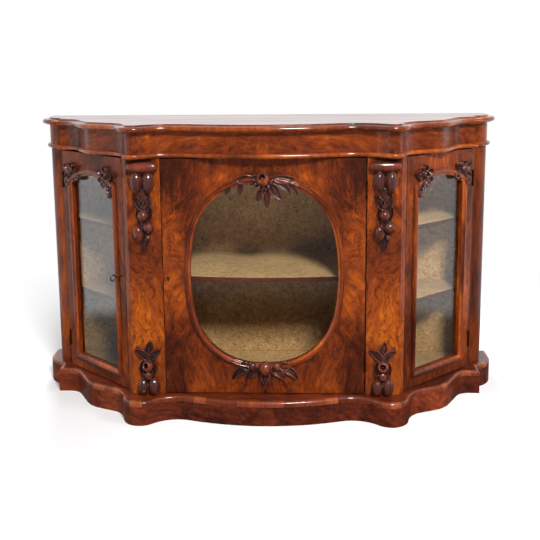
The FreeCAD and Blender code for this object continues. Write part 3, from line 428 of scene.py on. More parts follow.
def wood(name, colours, turn_xyz=(0.0, 0.0, 0.0), place=(0.0, 0.0, 0.0), mirror=False, swirl=1.0,
         rings=24.0, ring_depth=0.6, mottle=0.5, warmth=0.0, gloss=0.25, coat_roughness=0.1, tone=1.0,
         relief=0.0, glow=0.0):
    """Polished walnut: swirling figure, dark growth lines, mottle, warm and dark clouds, fine pores.

    The grain runs along the piece's own Z before the pattern is turned.
    """
    material, tree, shader = new_material(name)
    plain = object_place(tree)
    coords = plain
    if mirror:
        x, y, z = parts_of(tree, coords)
        coords = vector_of(tree, calc(tree, "ABSOLUTE", x), y, z)
    coords = node(tree, "ShaderNodeMapping", {
        "Vector": coords, "Location": place, "Rotation": [math.radians(a) for a in turn_xyz]}).outputs[0]
    moved = wander(tree, wander(tree, coords, 3.4, 0.17 * swirl), 9.0, 0.036 * swirl)
    curled = wander(tree, moved, 30.0, 0.016 * mottle)

    figure = drawn_noise(tree, moved, (1.0, 1.0, 0.32), 6.5, 3.0, 0.5)
    growth = ramp(tree, calc(tree, "FRACT", calc(tree, "MULTIPLY", figure, rings)), *GROWTH_LINE)
    fades = ramp(tree, noise(tree, coords, 5.0, 2.0), (0.32, 0.2), (0.54, 1.0))
    streaks = drawn_noise(tree, curled, (1.0, 1.0, 0.16), 75.0, 4.0, 0.62)
    blots = drawn_noise(tree, curled, (1.0, 1.0, 0.62), 58.0, 4.0, 0.65)
    clouds = noise(tree, coords, 3.6, 3.0, 0.5)
    pores = drawn_noise(tree, moved, (1.0, 1.0, 0.18), 700.0, 2.0, 0.5)

    level = total(tree, (streaks, 0.24), (blots, 0.30 * mottle), (figure, 0.30), (clouds, 0.36))
    level = calc(tree, "ADD", level, 0.05 - 0.15 * mottle + warmth)
    if glow:
        level = calc(tree, "ADD", level, stile_glow(tree, plain, glow))
    base = ramp(tree, level, *zip(TONE_STOPS, colours))
    ringed = blend_colour(tree, calc(tree, "MULTIPLY", fades, ring_depth), base, times(tree, base, growth))
    fine = ramp(tree, pores, (0.32, 0.58), (0.46, 1.0))
    colour = blend_colour(tree, 0.7, ringed, fine, "MULTIPLY")
    if tone != 1.0:
        colour = times(tree, colour, linear(tone))
    if relief:
        # Carving: painted shade in creases and hollows, and lighter rubbed ridges
        mark = node(tree, "ShaderNodeAttribute", attribute_name="relief").outputs["Fac"]
        colour = blend_colour(tree, relief, colour, ramp(tree, mark, *RUBBED_RIDGES_AND_HOLLOW_SHADE), "MULTIPLY")
        # Painted light on the forms that stand out most, and painted shade near the ground
        proud = node(tree, "ShaderNodeAttribute", attribute_name="proud").outputs["Fac"]
        colour = times(tree, colour, ramp(tree, proud, *PROUD_LIGHT_AND_SHADE))
    feed(tree, shader, {
        "Base Color": colour, "Roughness": 0.36, "Specular IOR Level": 0.12, "Coat Weight": gloss,
        "Coat Roughness": coat_roughness})
    roughen(tree, shader, streaks, 0.06, 0.0005)
    return material


def stile_glow(tree, coords, amount):
    """Warm light wood in upright bands beside the oval."""
    middle_height = 0.50
    place = parts_of(tree, wander(tree, coords, 6.0, 0.06))
    near = spread(tree, calc(tree, "ABSOLUTE", place["X"]), 0.215, 0.262, interpolation_type="SMOOTHSTEP")
    level = calc(tree, "ABSOLUTE", calc(tree, "SUBTRACT", place["Z"], middle_height))
    upright = spread(tree, level, 0.12, 0.27, 1.0, -0.6, interpolation_type="SMOOTHSTEP")
    return calc(tree, "MULTIPLY", calc(tree, "MULTIPLY", near, upright), amount)


def top_finish(red):
    """The top's high polish: at a low angle, half a mirror of the pale room and half a pale diffuse colour, a
    painted reflection of that room.
    """
    material = wood("top_polish", red, turn_xyz=(0, 90, 0), gloss=1.0, coat_roughness=0.05, warmth=0.03)
    tree, shader = tree_of(material)
    streaks = drawn_noise(tree, object_place(tree), (0.5, 3.0, 1.0), 9.0, 3.0, 0.6)
    mirror_tint_and_painted_reflection = ramp(tree, streaks, (0.3, srgb(194, 183, 183)), (0.7, srgb(215, 206, 206)))
    mirror = node(tree, "ShaderNodeBsdfGlossy", {"Color": mirror_tint_and_painted_reflection, "Roughness": 0.14})
    # A pale diffuse colour standing in for the room's reflection: painted reflection, mixed with the true
    # mirror
    painted_room_reflection = node(tree, "ShaderNodeBsdfDiffuse", {"Color": mirror_tint_and_painted_reflection})
    polish = mixed(tree, 0.45, mirror.outputs[0], painted_room_reflection.outputs[0])
    facing = node(tree, "ShaderNodeLayerWeight", {"Blend": 0.5}).outputs["Facing"]
    surface(tree, spread(tree, facing, 0.70, 0.92, 0.03, 0.97), shader.outputs[0], polish)
    return material


def along(tree):
    """Place along a moulding's run and across its section, in metres."""
    return parts_of(tree, node(tree, "ShaderNodeUVMap", uv_map="UVMap").outputs[0])[:2]


def band_finish(burr):
    """The plinth's crossband: short pieces set side by side, light and dark, with the grain across."""
    piece_length = 0.034
    tints = (
        (0.0, srgb(88, 36, 18)), (0.3, srgb(106, 46, 22)), (0.6, srgb(124, 56, 28)), (0.9, srgb(150, 76, 40)))
    material = wood("plinth_crossband", burr, swirl=0.3, ring_depth=0.0, gloss=0.9, coat_roughness=0.14)
    tree, shader = tree_of(material)
    run, reach = along(tree)
    uneven = noise(tree, vector_of(tree, run), 14.0, 1.0)
    place = calc(tree, "ADD", calc(tree, "DIVIDE", run, piece_length), calc(tree, "MULTIPLY", uneven, 1.6))
    piece = calc(tree, "FLOOR", place)
    shade = node(tree, "ShaderNodeTexWhiteNoise", {"W": piece}, noise_dimensions="1D").outputs["Value"]
    joint = calc(tree, "ABSOLUTE", calc(tree, "SUBTRACT", calc(tree, "FRACT", place), 0.5))
    gap = ramp(tree, joint, (0.46, 1.0), (0.495, 0.6))
    grain = noise(tree, vector_of(tree, run, calc(tree, "MULTIPLY", reach, 0.08), shade), 420.0, 3.0, 0.6)
    colour = times(tree, ramp(tree, shade, *tints), ramp(tree, grain, (0.34, 0.62), (0.60, 1.12)))
    feed(tree, shader, {"Base Color": times(tree, colour, gap)})
    return material


def door_moulding_finish(burr):
    """The door mouldings: a cove painted light beside the glass and rounds painted dark outside it, with
    lighter bands on the round and the bead: painted light and shade along the profile.
    """
    section_length = 0.034
    stops = (
        (0.10, 1.0), (0.16, (1.5, 1.4, 1.2)), (0.33, (1.2, 1.1, 1.0)), (0.42, (0.60, 0.50, 0.56)),
        (0.60, (0.74, 0.66, 0.72)), (0.74, (0.46, 0.40, 0.44)), (0.90, (0.60, 0.52, 0.56)))
    material = wood(
        "door_moulding_walnut", burr, place=(0.2, 0.9, 0.4), swirl=0.3, ring_depth=0.2, gloss=0.9,
        coat_roughness=0.14, warmth=0.02)
    tree, shader = tree_of(material)
    # Painted light and shade across the profile: the cove lighter, the quirk darker, lighter bands on the
    # rounds
    shades = ramp(tree, calc(tree, "MULTIPLY", along(tree)[1], 1.0 / section_length), *stops)
    colour = shader.inputs["Base Color"].links[0].from_socket
    feed(tree, shader, {"Base Color": times(tree, colour, shades)})
    return material


def lining_cloth(settings):
    """Crushed lining cloth, glued down, with a mottled nap."""
    material, tree, shader = new_material("lining_cloth")
    coords = object_place(tree)
    moved = wander(tree, coords, 45.0, 0.022)
    nap = drawn_noise(tree, moved, (0.8, 1.0, 0.8), 92.0, 3.0, 0.6, 1.2)
    threads = drawn_noise(tree, moved, (0.35, 1.0, 1.0), 520.0, 2.0, 0.6)
    level = total(tree, (nap, 0.6), (threads, 0.4))
    shades = [tuple(shade) for shade in (
        settings.cloth_shade, settings.cloth_ground, settings.cloth_nap, settings.cloth_tip)]
    colour = ramp(tree, level, *zip((0.34, 0.45, 0.56, 0.68), shades))
    fade = ramp(tree, noise(tree, coords, 9.0, 2.0), (0.35, 0.84), (0.65, 1.0))
    feed(tree, shader, {
        "Base Color": times(tree, colour, fade), "Roughness": 0.95, "Specular IOR Level": 0.15,
        "Sheen Weight": 0.9, "Sheen Roughness": 0.4, "Sheen Tint": srgb(236, 204, 150)})
    roughen(tree, shader, threads, 0.35, 0.0008)
    return material


def pane_glass(settings):
    """Old clear glass: mostly see-through, brighter where it is seen at a slant."""
    material, tree, shader = new_material("pane_glass")
    tree.nodes.remove(shader)
    clear = node(tree, "ShaderNodeBsdfTransparent", {"Color": settings.glass_tint})
    gloss = node(tree, "ShaderNodeBsdfGlossy", {"Color": (0.95, 0.97, 1.0, 1.0), "Roughness": 0.04})
    facing = node(tree, "ShaderNodeLayerWeight", {"Blend": 0.5}).outputs["Facing"]
    slant = calc(tree, "MULTIPLY", calc(tree, "POWER", facing, 3.0), 0.85)
    amount = calc(tree, "MINIMUM", calc(tree, "ADD", slant, 0.04), 0.9)
    surface(tree, amount, clear.outputs[0], gloss.outputs[0])
    return material


def metal(name, colour, tarnish, roughness):
    material, tree, shader = new_material(name)
    stains = noise(tree, object_place(tree), 140.0, 4.0, 0.6)
    feed(tree, shader, {
        "Base Color": ramp(tree, stains, (0.4, tuple(tarnish)), (0.6, tuple(colour))), "Metallic": 1.0,
        "Roughness": roughness})
    return material


def board(name, low, high):
    """Plain unpolished board for what is hidden."""
    material, tree, shader = new_material(name)
    grain = drawn_noise(tree, object_place(tree), (1.0, 1.0, 0.06), 60.0, 4.0, 0.6)
    feed(tree, shader, {"Base Color": ramp(tree, grain, (0.35, low), (0.65, high)), "Roughness": 0.7})
    roughen(tree, shader, grain, 0.15, 0.0005)
    return material


FINISHES = {}

# Each wood's finish: its material, its palette and how its pattern lies
WOODS = {
    "frieze": ("frieze_burr", "burr", {
        "turn_xyz": (0, 66, 0), "place": (0.31, 0.2, 0.0), "mirror": True, "mottle": 0.8, "rings": 36.0,
        "ring_depth": 0.7, "warmth": 0.018, "gloss": 0.4}),
    "side_frieze": ("side_frieze_burr", "burr", {
        "turn_xyz": (0, 66, 0), "place": (0.21, 0.1, 0.3), "mirror": True, "mottle": 0.8, "rings": 36.0,
        "ring_depth": 0.7, "warmth": -0.01, "gloss": 0.5, "coat_roughness": 0.18}),
    "centre_door": ("centre_door_burr", "burr", {
        "turn_xyz": (0, 9, 0), "place": (0.02, 0.0, 0.23), "mirror": True, "swirl": 1.15, "rings": 44.0,
        "mottle": 0.9, "ring_depth": 0.95, "glow": 0.08, "warmth": -0.025}),
    "pilaster": ("pilaster_burr", "burr", {
        "turn_xyz": (0, -8, 0), "place": (0.9, 0.1, 0.3), "mirror": True, "rings": 38.0, "ring_depth": 0.85,
        "mottle": 0.9, "warmth": -0.01}),
    "side_door": ("side_door_walnut", "burr", {
        "turn_xyz": (0, 3, 0), "place": (0.7, 0.1, 0.1), "swirl": 0.7, "rings": 30.0, "mottle": 0.7,
        "warmth": -0.035}),
    "plinth": ("plinth_walnut", "red", {
        "turn_xyz": (0, 70, 0), "place": (0.1, 0.3, 0.5), "swirl": 0.9, "rings": 32.0, "ring_depth": 0.7,
        "mottle": 1.0}),
    "post": ("post_walnut", "burr", {
        "place": (1.2, 0.0, 0.0), "swirl": 0.35, "ring_depth": 0.5, "mottle": 0.3, "warmth": -0.045}),
    "edge": ("crossband", "burr", {
        "place": (0.5, 0.5, 0.1), "swirl": 0.3, "ring_depth": 0.2, "gloss": 0.9, "coat_roughness": 0.14,
        "warmth": 0.02}),
    "nose": ("nose_walnut", "burr", {
        "place": (0.6, 0.3, 0.7), "swirl": 0.3, "ring_depth": 0.2, "gloss": 1.0, "coat_roughness": 0.14,
        "warmth": 0.01}),
    "moulding": ("moulding_walnut", "red", {
        "place": (0.2, 0.9, 0.4), "swirl": 0.3, "ring_depth": 0.2, "gloss": 0.8}),
    "carving": ("carved_walnut", "carving", {
        "place": (0.9, 0.4, 0.2), "swirl": 0.5, "rings": 70.0, "mottle": 0.9, "gloss": 0.8,
        "coat_roughness": 0.15, "relief": 0.85}),
    "deck": ("deck_burr", "red", {
        "turn_xyz": (0, 90, 0), "place": (0.3, 0.2, 0.9), "mottle": 0.7, "gloss": 0.8}),
    "shelf": ("shelf_walnut", "red", {
        "turn_xyz": (0, 90, 0), "swirl": 0.2, "ring_depth": 0.2, "gloss": 0.1, "tone": 0.5}),
}


def mix_finishes(settings):
    """Every finish of the credenza, made once."""
    for finish, (name, palette_name, looks) in WOODS.items():
        FINISHES[finish] = wood(name, palette(settings, palette_name), **looks)
    burr = palette(settings, "burr")
    FINISHES.update({
        "band": band_finish(burr),
        "door_moulding": door_moulding_finish(burr),
        "top": top_finish(palette(settings, "red")),
        "cloth": lining_cloth(settings),
        "glass": pane_glass(settings),
        "brass": metal("old_brass", settings.brass, settings.brass_tarnish, 0.35),
        "hinge": metal("hinge_brass", srgb(96, 68, 38), srgb(50, 33, 20), 0.45),
        "steel": metal("old_steel", settings.steel, settings.steel_tarnish, 0.42),
        "board": board("carcass_board", srgb(92, 60, 36), srgb(128, 88, 54)),
    })


# Finish of each node of the frame: by how its name starts, else by how it ends
NODE_FINISHES = (
    ("frieze_bead", "edge"), ("plinth_edge_band", "edge"), ("plinth_back", "board"), ("plinth_", "plinth"),
    ("frieze_front", "frieze"), ("frieze_", "side_frieze"), ("top_", "top"), ("base_board", "deck"),
    ("sub_top", "board"), ("partition_", "board"), ("back_panel", "board"), ("post_", "post"),
    ("pilaster_", "pilaster"), ("centre_shelf", "shelf"), ("right_shelf", "shelf"), ("left_shelf", "shelf"),
    ("strike_plates", "brass"), ("carcass_hinge", "hinge"), ("upper_carving", "carving"),
    ("lower_carving", "carving"), ("centre_door_frame", "centre_door"), ("right_door_frame", "side_door"),
    ("left_door_frame", "side_door"), ("left_door_key", "steel"),
)
PART_FINISHES = (
    ("_cloth", "cloth"), ("_glass", "glass"), ("_bead", "moulding"), ("_moulding", "moulding"),
    ("_carving", "carving"), ("_lock", "brass"), ("_bolt", "steel"), ("_leaves", "hinge"),
)


def finish_of(name):
    for start, finish in NODE_FINISHES:
        if name.startswith(start):
            return finish
    for end, finish in PART_FINISHES:
        if name.endswith(end):
            return finish
    raise ValueError("no finish for " + name)


def polish_nodes():
    for name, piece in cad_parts.items():
        for slot in piece.material_slots:
            slot.material = FINISHES[finish_of(name)]


# Making pieces

def linked(name, data):
    made = bpy.data.objects.new(name, data)
    bpy.context.scene.collection.objects.link(made)
    return made


def piece_from(name, vertices, faces, finish):
    mesh = bpy.data.meshes.new(name)
    mesh.from_pydata([tuple(v) for v in vertices], [], faces)
    mesh.materials.append(FINISHES[finish])
    return linked(name, mesh)


@contextlib.contextmanager
def reshaping(mesh):
    """Opens a mesh for an edit, and writes the edit back."""
    shape = bmesh.new()
    shape.from_mesh(mesh)
    yield shape
    shape.to_mesh(mesh)
    shape.free()


def fill_open(shape):
    open_edges = [edge for edge in shape.edges if edge.is_boundary]
    if open_edges:
        bmesh.ops.triangle_fill(shape, edges=open_edges, use_beauty=False)


def shade(mesh, sharp):
    """Smooth shading, but for edges that are sharper than an angle in degrees."""
    mesh.shade_smooth()
    mesh.set_sharp_from_angle(angle=math.radians(sharp))


def mark(mesh, name, kind, key, values):
    mesh.attributes.new(name, kind, "POINT").data.foreach_set(key, values)


def settle(piece, sharp=40.0, merge=0.00001):
    """Close a piece's seams and ends, turn its faces outwards and shade it."""
    with reshaping(piece.data) as shape:
        bmesh.ops.remove_doubles(shape, verts=shape.verts, dist=merge)
        fill_open(shape)
        bmesh.ops.recalc_face_normals(shape, faces=shape.faces)
    shade(piece.data, sharp)


def baked(name, source):
    """The evaluated object as a plain mesh of its own, and the source gone."""
    graph = bpy.context.evaluated_depsgraph_get()
    mesh = bpy.data.meshes.new_from_object(source.evaluated_get(graph))
    bpy.data.objects.remove(source)
    mesh.name = name
    return linked(name, mesh)


def declare(piece, body, slot, *nodes):
    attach(piece, body)
    if nodes:
        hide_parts(*nodes)


# Mouldings: one Geometry Nodes tree draws a section along a path

MOULDING_INPUTS = {
    "Geometry": "Geometry", "Path": "Object", "Section": "Object", "Lift": "Vector", "Closed": "Int",
    "Length": "Float", "Finish": "Material",
}


def moulding_tree():
    """Lays the section's points beside each point of the path, as one grid, and joins its seams."""
    name = "Moulding along a path"
    if name in bpy.data.node_groups:
        return bpy.data.node_groups[name]
    tree = bpy.data.node_groups.new(name, "GeometryNodeTree")
    tree.interface.new_socket("Geometry", in_out="OUTPUT", socket_type="NodeSocketGeometry")
    for title, kind in MOULDING_INPUTS.items():
        tree.interface.new_socket(title, in_out="INPUT", socket_type="NodeSocket" + kind)
    given = tree.nodes.new("NodeGroupInput").outputs

    def made(kind, inputs=None, output=0, **settings):
        return node(tree, "GeometryNode" + kind, inputs, **settings).outputs[output]

    def stored(attribute, kind="FLOAT"):
        return made("InputNamedAttribute", {"Name": attribute}, data_type=kind)

    def sampled(line, value, place, kind="FLOAT_VECTOR"):
        inputs = {"Geometry": line, "Value": value, "Index": place}
        return made("SampleIndex", inputs, data_type=kind, domain="POINT")

    def noted(geometry, attribute, value, kind, domain):
        inputs = {"Geometry": geometry, "Name": attribute, "Value": value}
        return made("StoreNamedAttribute", inputs, data_type=kind, domain=domain)

    path = made("ObjectInfo", {"Object": given["Path"]}, "Geometry")
    section = made("ObjectInfo", {"Object": given["Section"]}, "Geometry")
    stations = made("AttributeDomainSize", {"Geometry": path}, "Point Count")
    corners = made("AttributeDomainSize", {"Geometry": section}, "Point Count")
    rows = calc(tree, "ADD", corners, 1.0)
    grid = made("MeshGrid", {"Vertices X": calc(tree, "ADD", stations, given["Closed"]), "Vertices Y": rows})
    index = made("InputIndex")
    column = calc(tree, "FLOOR", calc(tree, "DIVIDE", calc(tree, "ADD", index, 0.25), rows))
    row = calc(tree, "SUBTRACT", index, calc(tree, "MULTIPLY", column, rows))
    station = calc(tree, "FLOORED_MODULO", column, stations)
    corner = calc(tree, "FLOORED_MODULO", row, corners)

    base = sampled(path, made("InputPosition"), station)
    side = sampled(path, stored("side", "FLOAT_VECTOR"), station)
    drawn = parts_of(tree, sampled(section, made("InputPosition"), corner))
    place = bend(tree, "ADD", base, scaled(tree, side, drawn["X"]))
    place = bend(tree, "ADD", place, scaled(tree, given["Lift"], drawn["Y"]))
    lap = calc(tree, "MULTIPLY", given["Length"], calc(tree, "FLOOR", calc(tree, "DIVIDE", column, stations)))
    run = calc(tree, "ADD", sampled(path, stored("run"), station, "FLOAT"), lap)
    marks = vector_of(tree, run, sampled(section, stored("reach"), corner, "FLOAT"))

    shaped = made("SetPosition", {"Geometry": grid, "Position": place})
    marked = noted(shaped, "marks", marks, "FLOAT_VECTOR", "POINT")
    mapped = noted(marked, "UVMap", stored("marks", "FLOAT_VECTOR"), "FLOAT2", "CORNER")
    cleaned = made("RemoveAttribute", {"Geometry": mapped, "Name": "marks"})
    joined = made("MergeByDistance", {"Geometry": cleaned, "Distance": 0.00001})
    real = made("RealizeInstances", {"Geometry": joined})
    painted = made("SetMaterial", {"Geometry": real, "Material": given["Finish"]})
    tree.links.new(painted, tree.nodes.new("NodeGroupOutput").inputs[0])
    return tree


def guide(name, points, closed=False, **attributes):
    """A bare line of points for the moulding tree to read, with its attributes."""
    count = len(points)
    edges = [(i, (i + 1) % count) for i in range(count if closed else count - 1)]
    mesh = bpy.data.meshes.new(name)
    mesh.from_pydata([tuple(p) for p in points], edges, [])
    for key, values in attributes.items():
        if isinstance(values[0], Vector):
            mark(mesh, key, "FLOAT_VECTOR", "vector", [c for value in values for c in value])
        else:
            mark(mesh, key, "FLOAT", "value", values)
    return linked(name, mesh)


def running(points):
    """Length along a line up to each of its points."""
    lengths = [0.0]
    for a, b in zip(points, points[1:]):
        lengths.append(lengths[-1] + (b - a).length)
    return lengths


def moulding(name, path, section, lift, finish, closed=False):
    """A moulding along a path of (place, direction) in metres, from a section in millimetres."""
    places = [place for place, side in path]
    sides = [side for place, side in path]
    corners = [Vector((a * MM, b * MM, 0.0)) for a, b in section]
    run = running(places)
    path_guide = guide(name + "_path", places, closed, side=sides, run=run)
    section_guide = guide(name + "_section", corners, True, reach=running(corners))
    carrier = guide(name + "_carrier", [Vector((0, 0, 0)), Vector((0, 0, MM))])
    tree = moulding_tree()
    modifier = carrier.modifiers.new("moulding", "NODES")
    modifier.node_group = tree
    wanted = {
        "Path": path_guide, "Section": section_guide, "Lift": tuple(lift), "Closed": int(closed),
        "Length": run[-1] + (places[0] - places[-1]).length, "Finish": FINISHES[finish],
    }
    for item in tree.interface.items_tree:
        if item.item_type == "SOCKET" and item.in_out == "INPUT" and item.name in wanted:
            modifier[item.identifier] = wanted[item.name]
    made = baked(name, carrier)
    for spent in (path_guide, section_guide):
        bpy.data.objects.remove(spent)
    settle(made)
    return made


def swell(centre, reach, first, last, count):
    """Section points round part of an ellipse, between two angles in degrees."""
    angles = [math.radians(first + (last - first) * i / count) for i in range(count + 1)]
    return around(centre, reach, angles)


def top_section(settings):
    """Field edge, thin fillet, hollow and big round nose, as (setback, height)."""
    nose = (settings.nose_reach / MM, settings.nose_rise / MM)
    section = [(33.0, FRIEZE_HEAD), (33.0, TOTAL_HEIGHT), (31.4, TOTAL_HEIGHT), (31.0, TOTAL_HEIGHT - 0.4)]
    section += swell((24.5, TOTAL_HEIGHT - 2.0), (6.5, 2.5), 0, -90, 8)
    section += swell((18.0, TOTAL_HEIGHT - 12.5), nose, 90, 262, 20)
    section += [(18.0, FRIEZE_HEAD + 1.2), (19.0, FRIEZE_HEAD)]
    return section


def bead_section(settings):
    """The bead between the doors and the frieze."""
    middle = (HEAD_HEIGHT + FRIEZE_FOOT) / 2
    bead = (settings.bead_reach / MM, (FRIEZE_FOOT - HEAD_HEIGHT) / 2)
    return [(33.0, HEAD_HEIGHT)] + swell((29.0, middle), bead, 270, 90, 18) + [(33.0, FRIEZE_FOOT)]


def edge_section(settings):
    """The crossbanded upper edge of the plinth, rounded over."""
    low = PLINTH_HEIGHT - 16.0
    over = settings.band_round / MM
    section = [(12.0, low), (0.6, low), (0.0, low + 0.6)]
    return section + swell((over, PLINTH_HEIGHT - over), (over, over), 180, 90, 12) + [(12.0, PLINTH_HEIGHT)]


def oval_section():
    """From the glass outwards: a slanting cove, the main round, a quirk and a thin bead."""
    section = [(0.0, 0.0), (0.0, 1.6), (0.8, 2.2)]
    section += swell((1.2, 8.6), (5.4, 6.2), 278, 352, 8)
    section += [(6.9, 8.3)]
    section += swell((10.8, 5.6), (3.9, 4.4), 158, 18, 12)
    section += [(15.0, 5.6), (15.3, 5.2)]
    section += swell((16.9, 4.2), (1.9, 2.2), 150, 0, 8)
    return section + [(18.9, 0.0)]


def arch_section():
    section = [(0.0, 0.0), (0.0, 1.8), (0.9, 2.6)]
    section += swell((1.4, 7.6), (4.4, 5.0), 278, 350, 6)
    section += swell((11.4, 4.6), (5.6, 4.4), 160, 20, 14)
    section += [(17.2, 5.2)]
    section += swell((18.1, 3.8), (1.9, 1.9), 140, 0, 6)
    return section + [(20.0, 0.0)]


def door_path(face, loop, up):
    """A closed path on a door's face, with the directions in which the opening grows."""
    grow = 10.0
    made = []
    for (x, z), (wide_x, wide_z) in zip(loop(0.0), loop(grow)):
        place = face.at(x, 0.0, z + up)
        made.append((place, (face.at(wide_x, 0.0, wide_z + up) - place) / (grow * MM)))
    return made


# Carving: forms laid on a flat face, grown together, then cut off flush with the face.
# A form is (vertices, faces) in millimetres: across, out, up.

ROOT = 2.0      # How far the forms reach behind the face before the cut


def sheet_faces(columns, rows, wrap=False):
    faces = []
    for i in range(columns - 1):
        for j in range(rows if wrap else rows - 1):
            k = (j + 1) % rows
            faces.append((i * rows + j, i * rows + k, (i + 1) * rows + k, (i + 1) * rows + j))
    return faces


def capped_faces(columns, rows):
    """Faces of a round form with flat ends."""
    last = (columns - 1) * rows
    ends = [tuple(range(rows)), tuple(reversed(range(last, last + rows)))]
    return sheet_faces(columns, rows, True) + ends


def slab_faces(columns, rows):
    """Faces of a slab: a grid of points, a second one behind it, and the rim between them."""
    shift = columns * rows
    last = shift - rows
    faces = sheet_faces(columns, rows)
    faces += [tuple(shift + index for index in reversed(face)) for face in faces]
    rim = [i * rows for i in range(columns)] + list(range(last + 1, last + rows))
    rim += [i * rows + rows - 1 for i in reversed(range(columns - 1))] + list(reversed(range(1, rows - 1)))
    faces += [(a, b, b + shift, a + shift) for a, b in zip(rim, rim[1:] + rim[:1])]
    return faces


def turned_by(points, origin, angle):
    """Lays points drawn along +x out at an angle from +x, about a place on the face."""
    c, s = turn(angle)
    return [(origin[0] + x * c - z * s, out, origin[1] + x * s + z * c) for x, out, z in points]


def leaf(origin, angle, length, width, rise, curl=0.0, hook=2.0, lift=0.3, full=0.72):
    """A carved leaf: a shallow tray with a raised rim, a fine midrib and a tip that bends round and lifts."""
    columns, rows = 28, 21
    tray, rim, rib = 0.46, 0.42, 0.14
    rim_start, rim_width, rib_width = 0.5, 0.34, 0.12
    stalk = 0.5
    thinnest = 1.2
    top = []
    for i in range(columns):
        t = i / (columns - 1)
        breadth = width / 2 * (math.sin(math.pi * t ** full) ** 0.75 if 0 < t < 1 else 0.0)
        breadth += stalk * (1 - t)
        sway = curl * length * t ** hook
        slope = curl * hook * t ** (hook - 1)
        steep = math.hypot(1.0, slope)
        for j in range(rows):
            v = 2 * j / (rows - 1) - 1
            share = min(1.0, max(0.0, (abs(v) - rim_start) / rim_width))
            edge = share * share * (3 - 2 * share)
            ridge = rib * math.exp(-(v / rib_width) ** 2) * (1 - t)
            height = rise * (tray + lift * (t ** 1.6 - 0.35) + ridge + rim * (edge - 0.25))
            x, z = length * t - slope / steep * breadth * v, sway + breadth * v / steep
            top.append((x, max(height, thinnest), z))
    vertices = top + [(x, -ROOT, z) for x, _, z in top]
    return turned_by(vertices, origin, angle), slab_faces(columns, rows)


def nut(centre, out, radius, half, angle=90.0, husk=0.0, ribs=0, rib_depth=0.0, belly=1.0):
    """A round or long form: fruit, pod, nut or bun; a husk leaves a groove round its inner body."""
    columns, rows = 25, 40
    groove, groove_width, inner = 52, 9.0, 48
    tip = 0.02
    vertices = []
    for i in range(columns):
        fall = math.pi * i / (columns - 1)
        along = -math.cos(fall) * half
        ring = radius * math.sin(fall) ** belly if 0 < i < columns - 1 else tip
        for j in range(rows):
            theta = 2 * math.pi * j / rows
            facing = math.degrees(abs((theta + math.pi) % (2 * math.pi) - math.pi))
            size = ring
            if husk:
                cut = math.exp(-((facing - groove) / groove_width) ** 2)
                size *= 1 - husk * cut + husk * 0.55 * (facing < inner)
            if ribs:
                size *= 1 + rib_depth * math.cos(ribs * theta)
            vertices.append((along, out + size * math.cos(theta), size * math.sin(theta)))
    return turned_by(vertices, centre, angle), capped_faces(columns, rows)


def bud(centre, out, radius, hole, lean, aside=0.0):
    """A half-open bud: a ball of overlapping petals round a deep hole, tipped up and turned aside."""
    columns, rows = 30, 50
    petals, overlap, seam_depth, seam_width = 5, 0.07, 0.15, 0.07
    lip = 0.75 * hole
    vertices = []
    for i in range(columns):
        fall = math.pi * i / (columns - 1)
        for j in range(rows):
            theta = 2 * math.pi * j / rows
            lap = (petals * theta / (2 * math.pi) + 0.2 + 0.25 * math.sin(fall)) % 1
            seam = math.exp(-(min(lap, 1 - lap) / seam_width) ** 2)
            size = radius * (1 + (overlap * lap - seam_depth * seam) * math.sin(fall))
            axial = math.cos(fall) * size
            ring = math.sin(fall) * size
            if ring < hole * 1.5 and fall < math.pi / 2:
                sunk = 1 - min(1.0, max(0.0, (ring - lip) / lip))
                axial -= radius * 1.25 * sunk ** 0.5
            vertices.append((ring * math.cos(theta), axial, ring * math.sin(theta)))
    c, s = turn(lean)
    tipped = [(x, y * c - z * s, y * s + z * c) for x, y, z in vertices]
    c, s = turn(aside)
    tipped = [(x * c + y * s, y * c - x * s, z) for x, y, z in tipped]
    placed = [(centre[0] + x, out + y, centre[1] + z) for x, y, z in tipped]
    return placed, sheet_faces(columns, rows, True)


def scroll(centre, start, turns, first, last, tube, rise):
    """A scroll end: a tapering round that winds in on itself."""
    columns, rows = 44, 14
    vertices = []
    for i in range(columns):
        t = i / (columns - 1)
        angle = math.radians(start) + 2 * math.pi * turns * t
        radius = first + (last - first) * t
        thick = tube * (1 - 0.35 * t)
        ahead = (math.cos(angle), math.sin(angle))
        middle = step(centre, ahead, radius)
        for j in range(rows):
            theta = 2 * math.pi * j / rows
            x, z = step(middle, ahead, thick * math.cos(theta))
            vertices.append((x, rise * (0.8 + 0.3 * t) + thick * math.sin(theta), z))
    return vertices, capped_faces(columns, rows)


def plug(x_low, x_high, out_high, z_low, z_high):
    """A plain block under other forms, which fills between them."""
    corners = [(x, out, z) for x in (x_low, x_high) for out in (-ROOT, out_high) for z in (z_low, z_high)]
    faces = [(0, 1, 3, 2), (4, 6, 7, 5), (0, 4, 5, 1), (2, 3, 7, 6), (0, 2, 6, 4), (1, 5, 7, 3)]
    return corners, faces


def values_of(items, key, width, kind=float):
    """One value of each item of a mesh, as an array with a row for each item."""
    flat = np.empty(len(items) * width, dtype=kind)
    items.foreach_get(key, flat)
    return flat.reshape(-1, width)


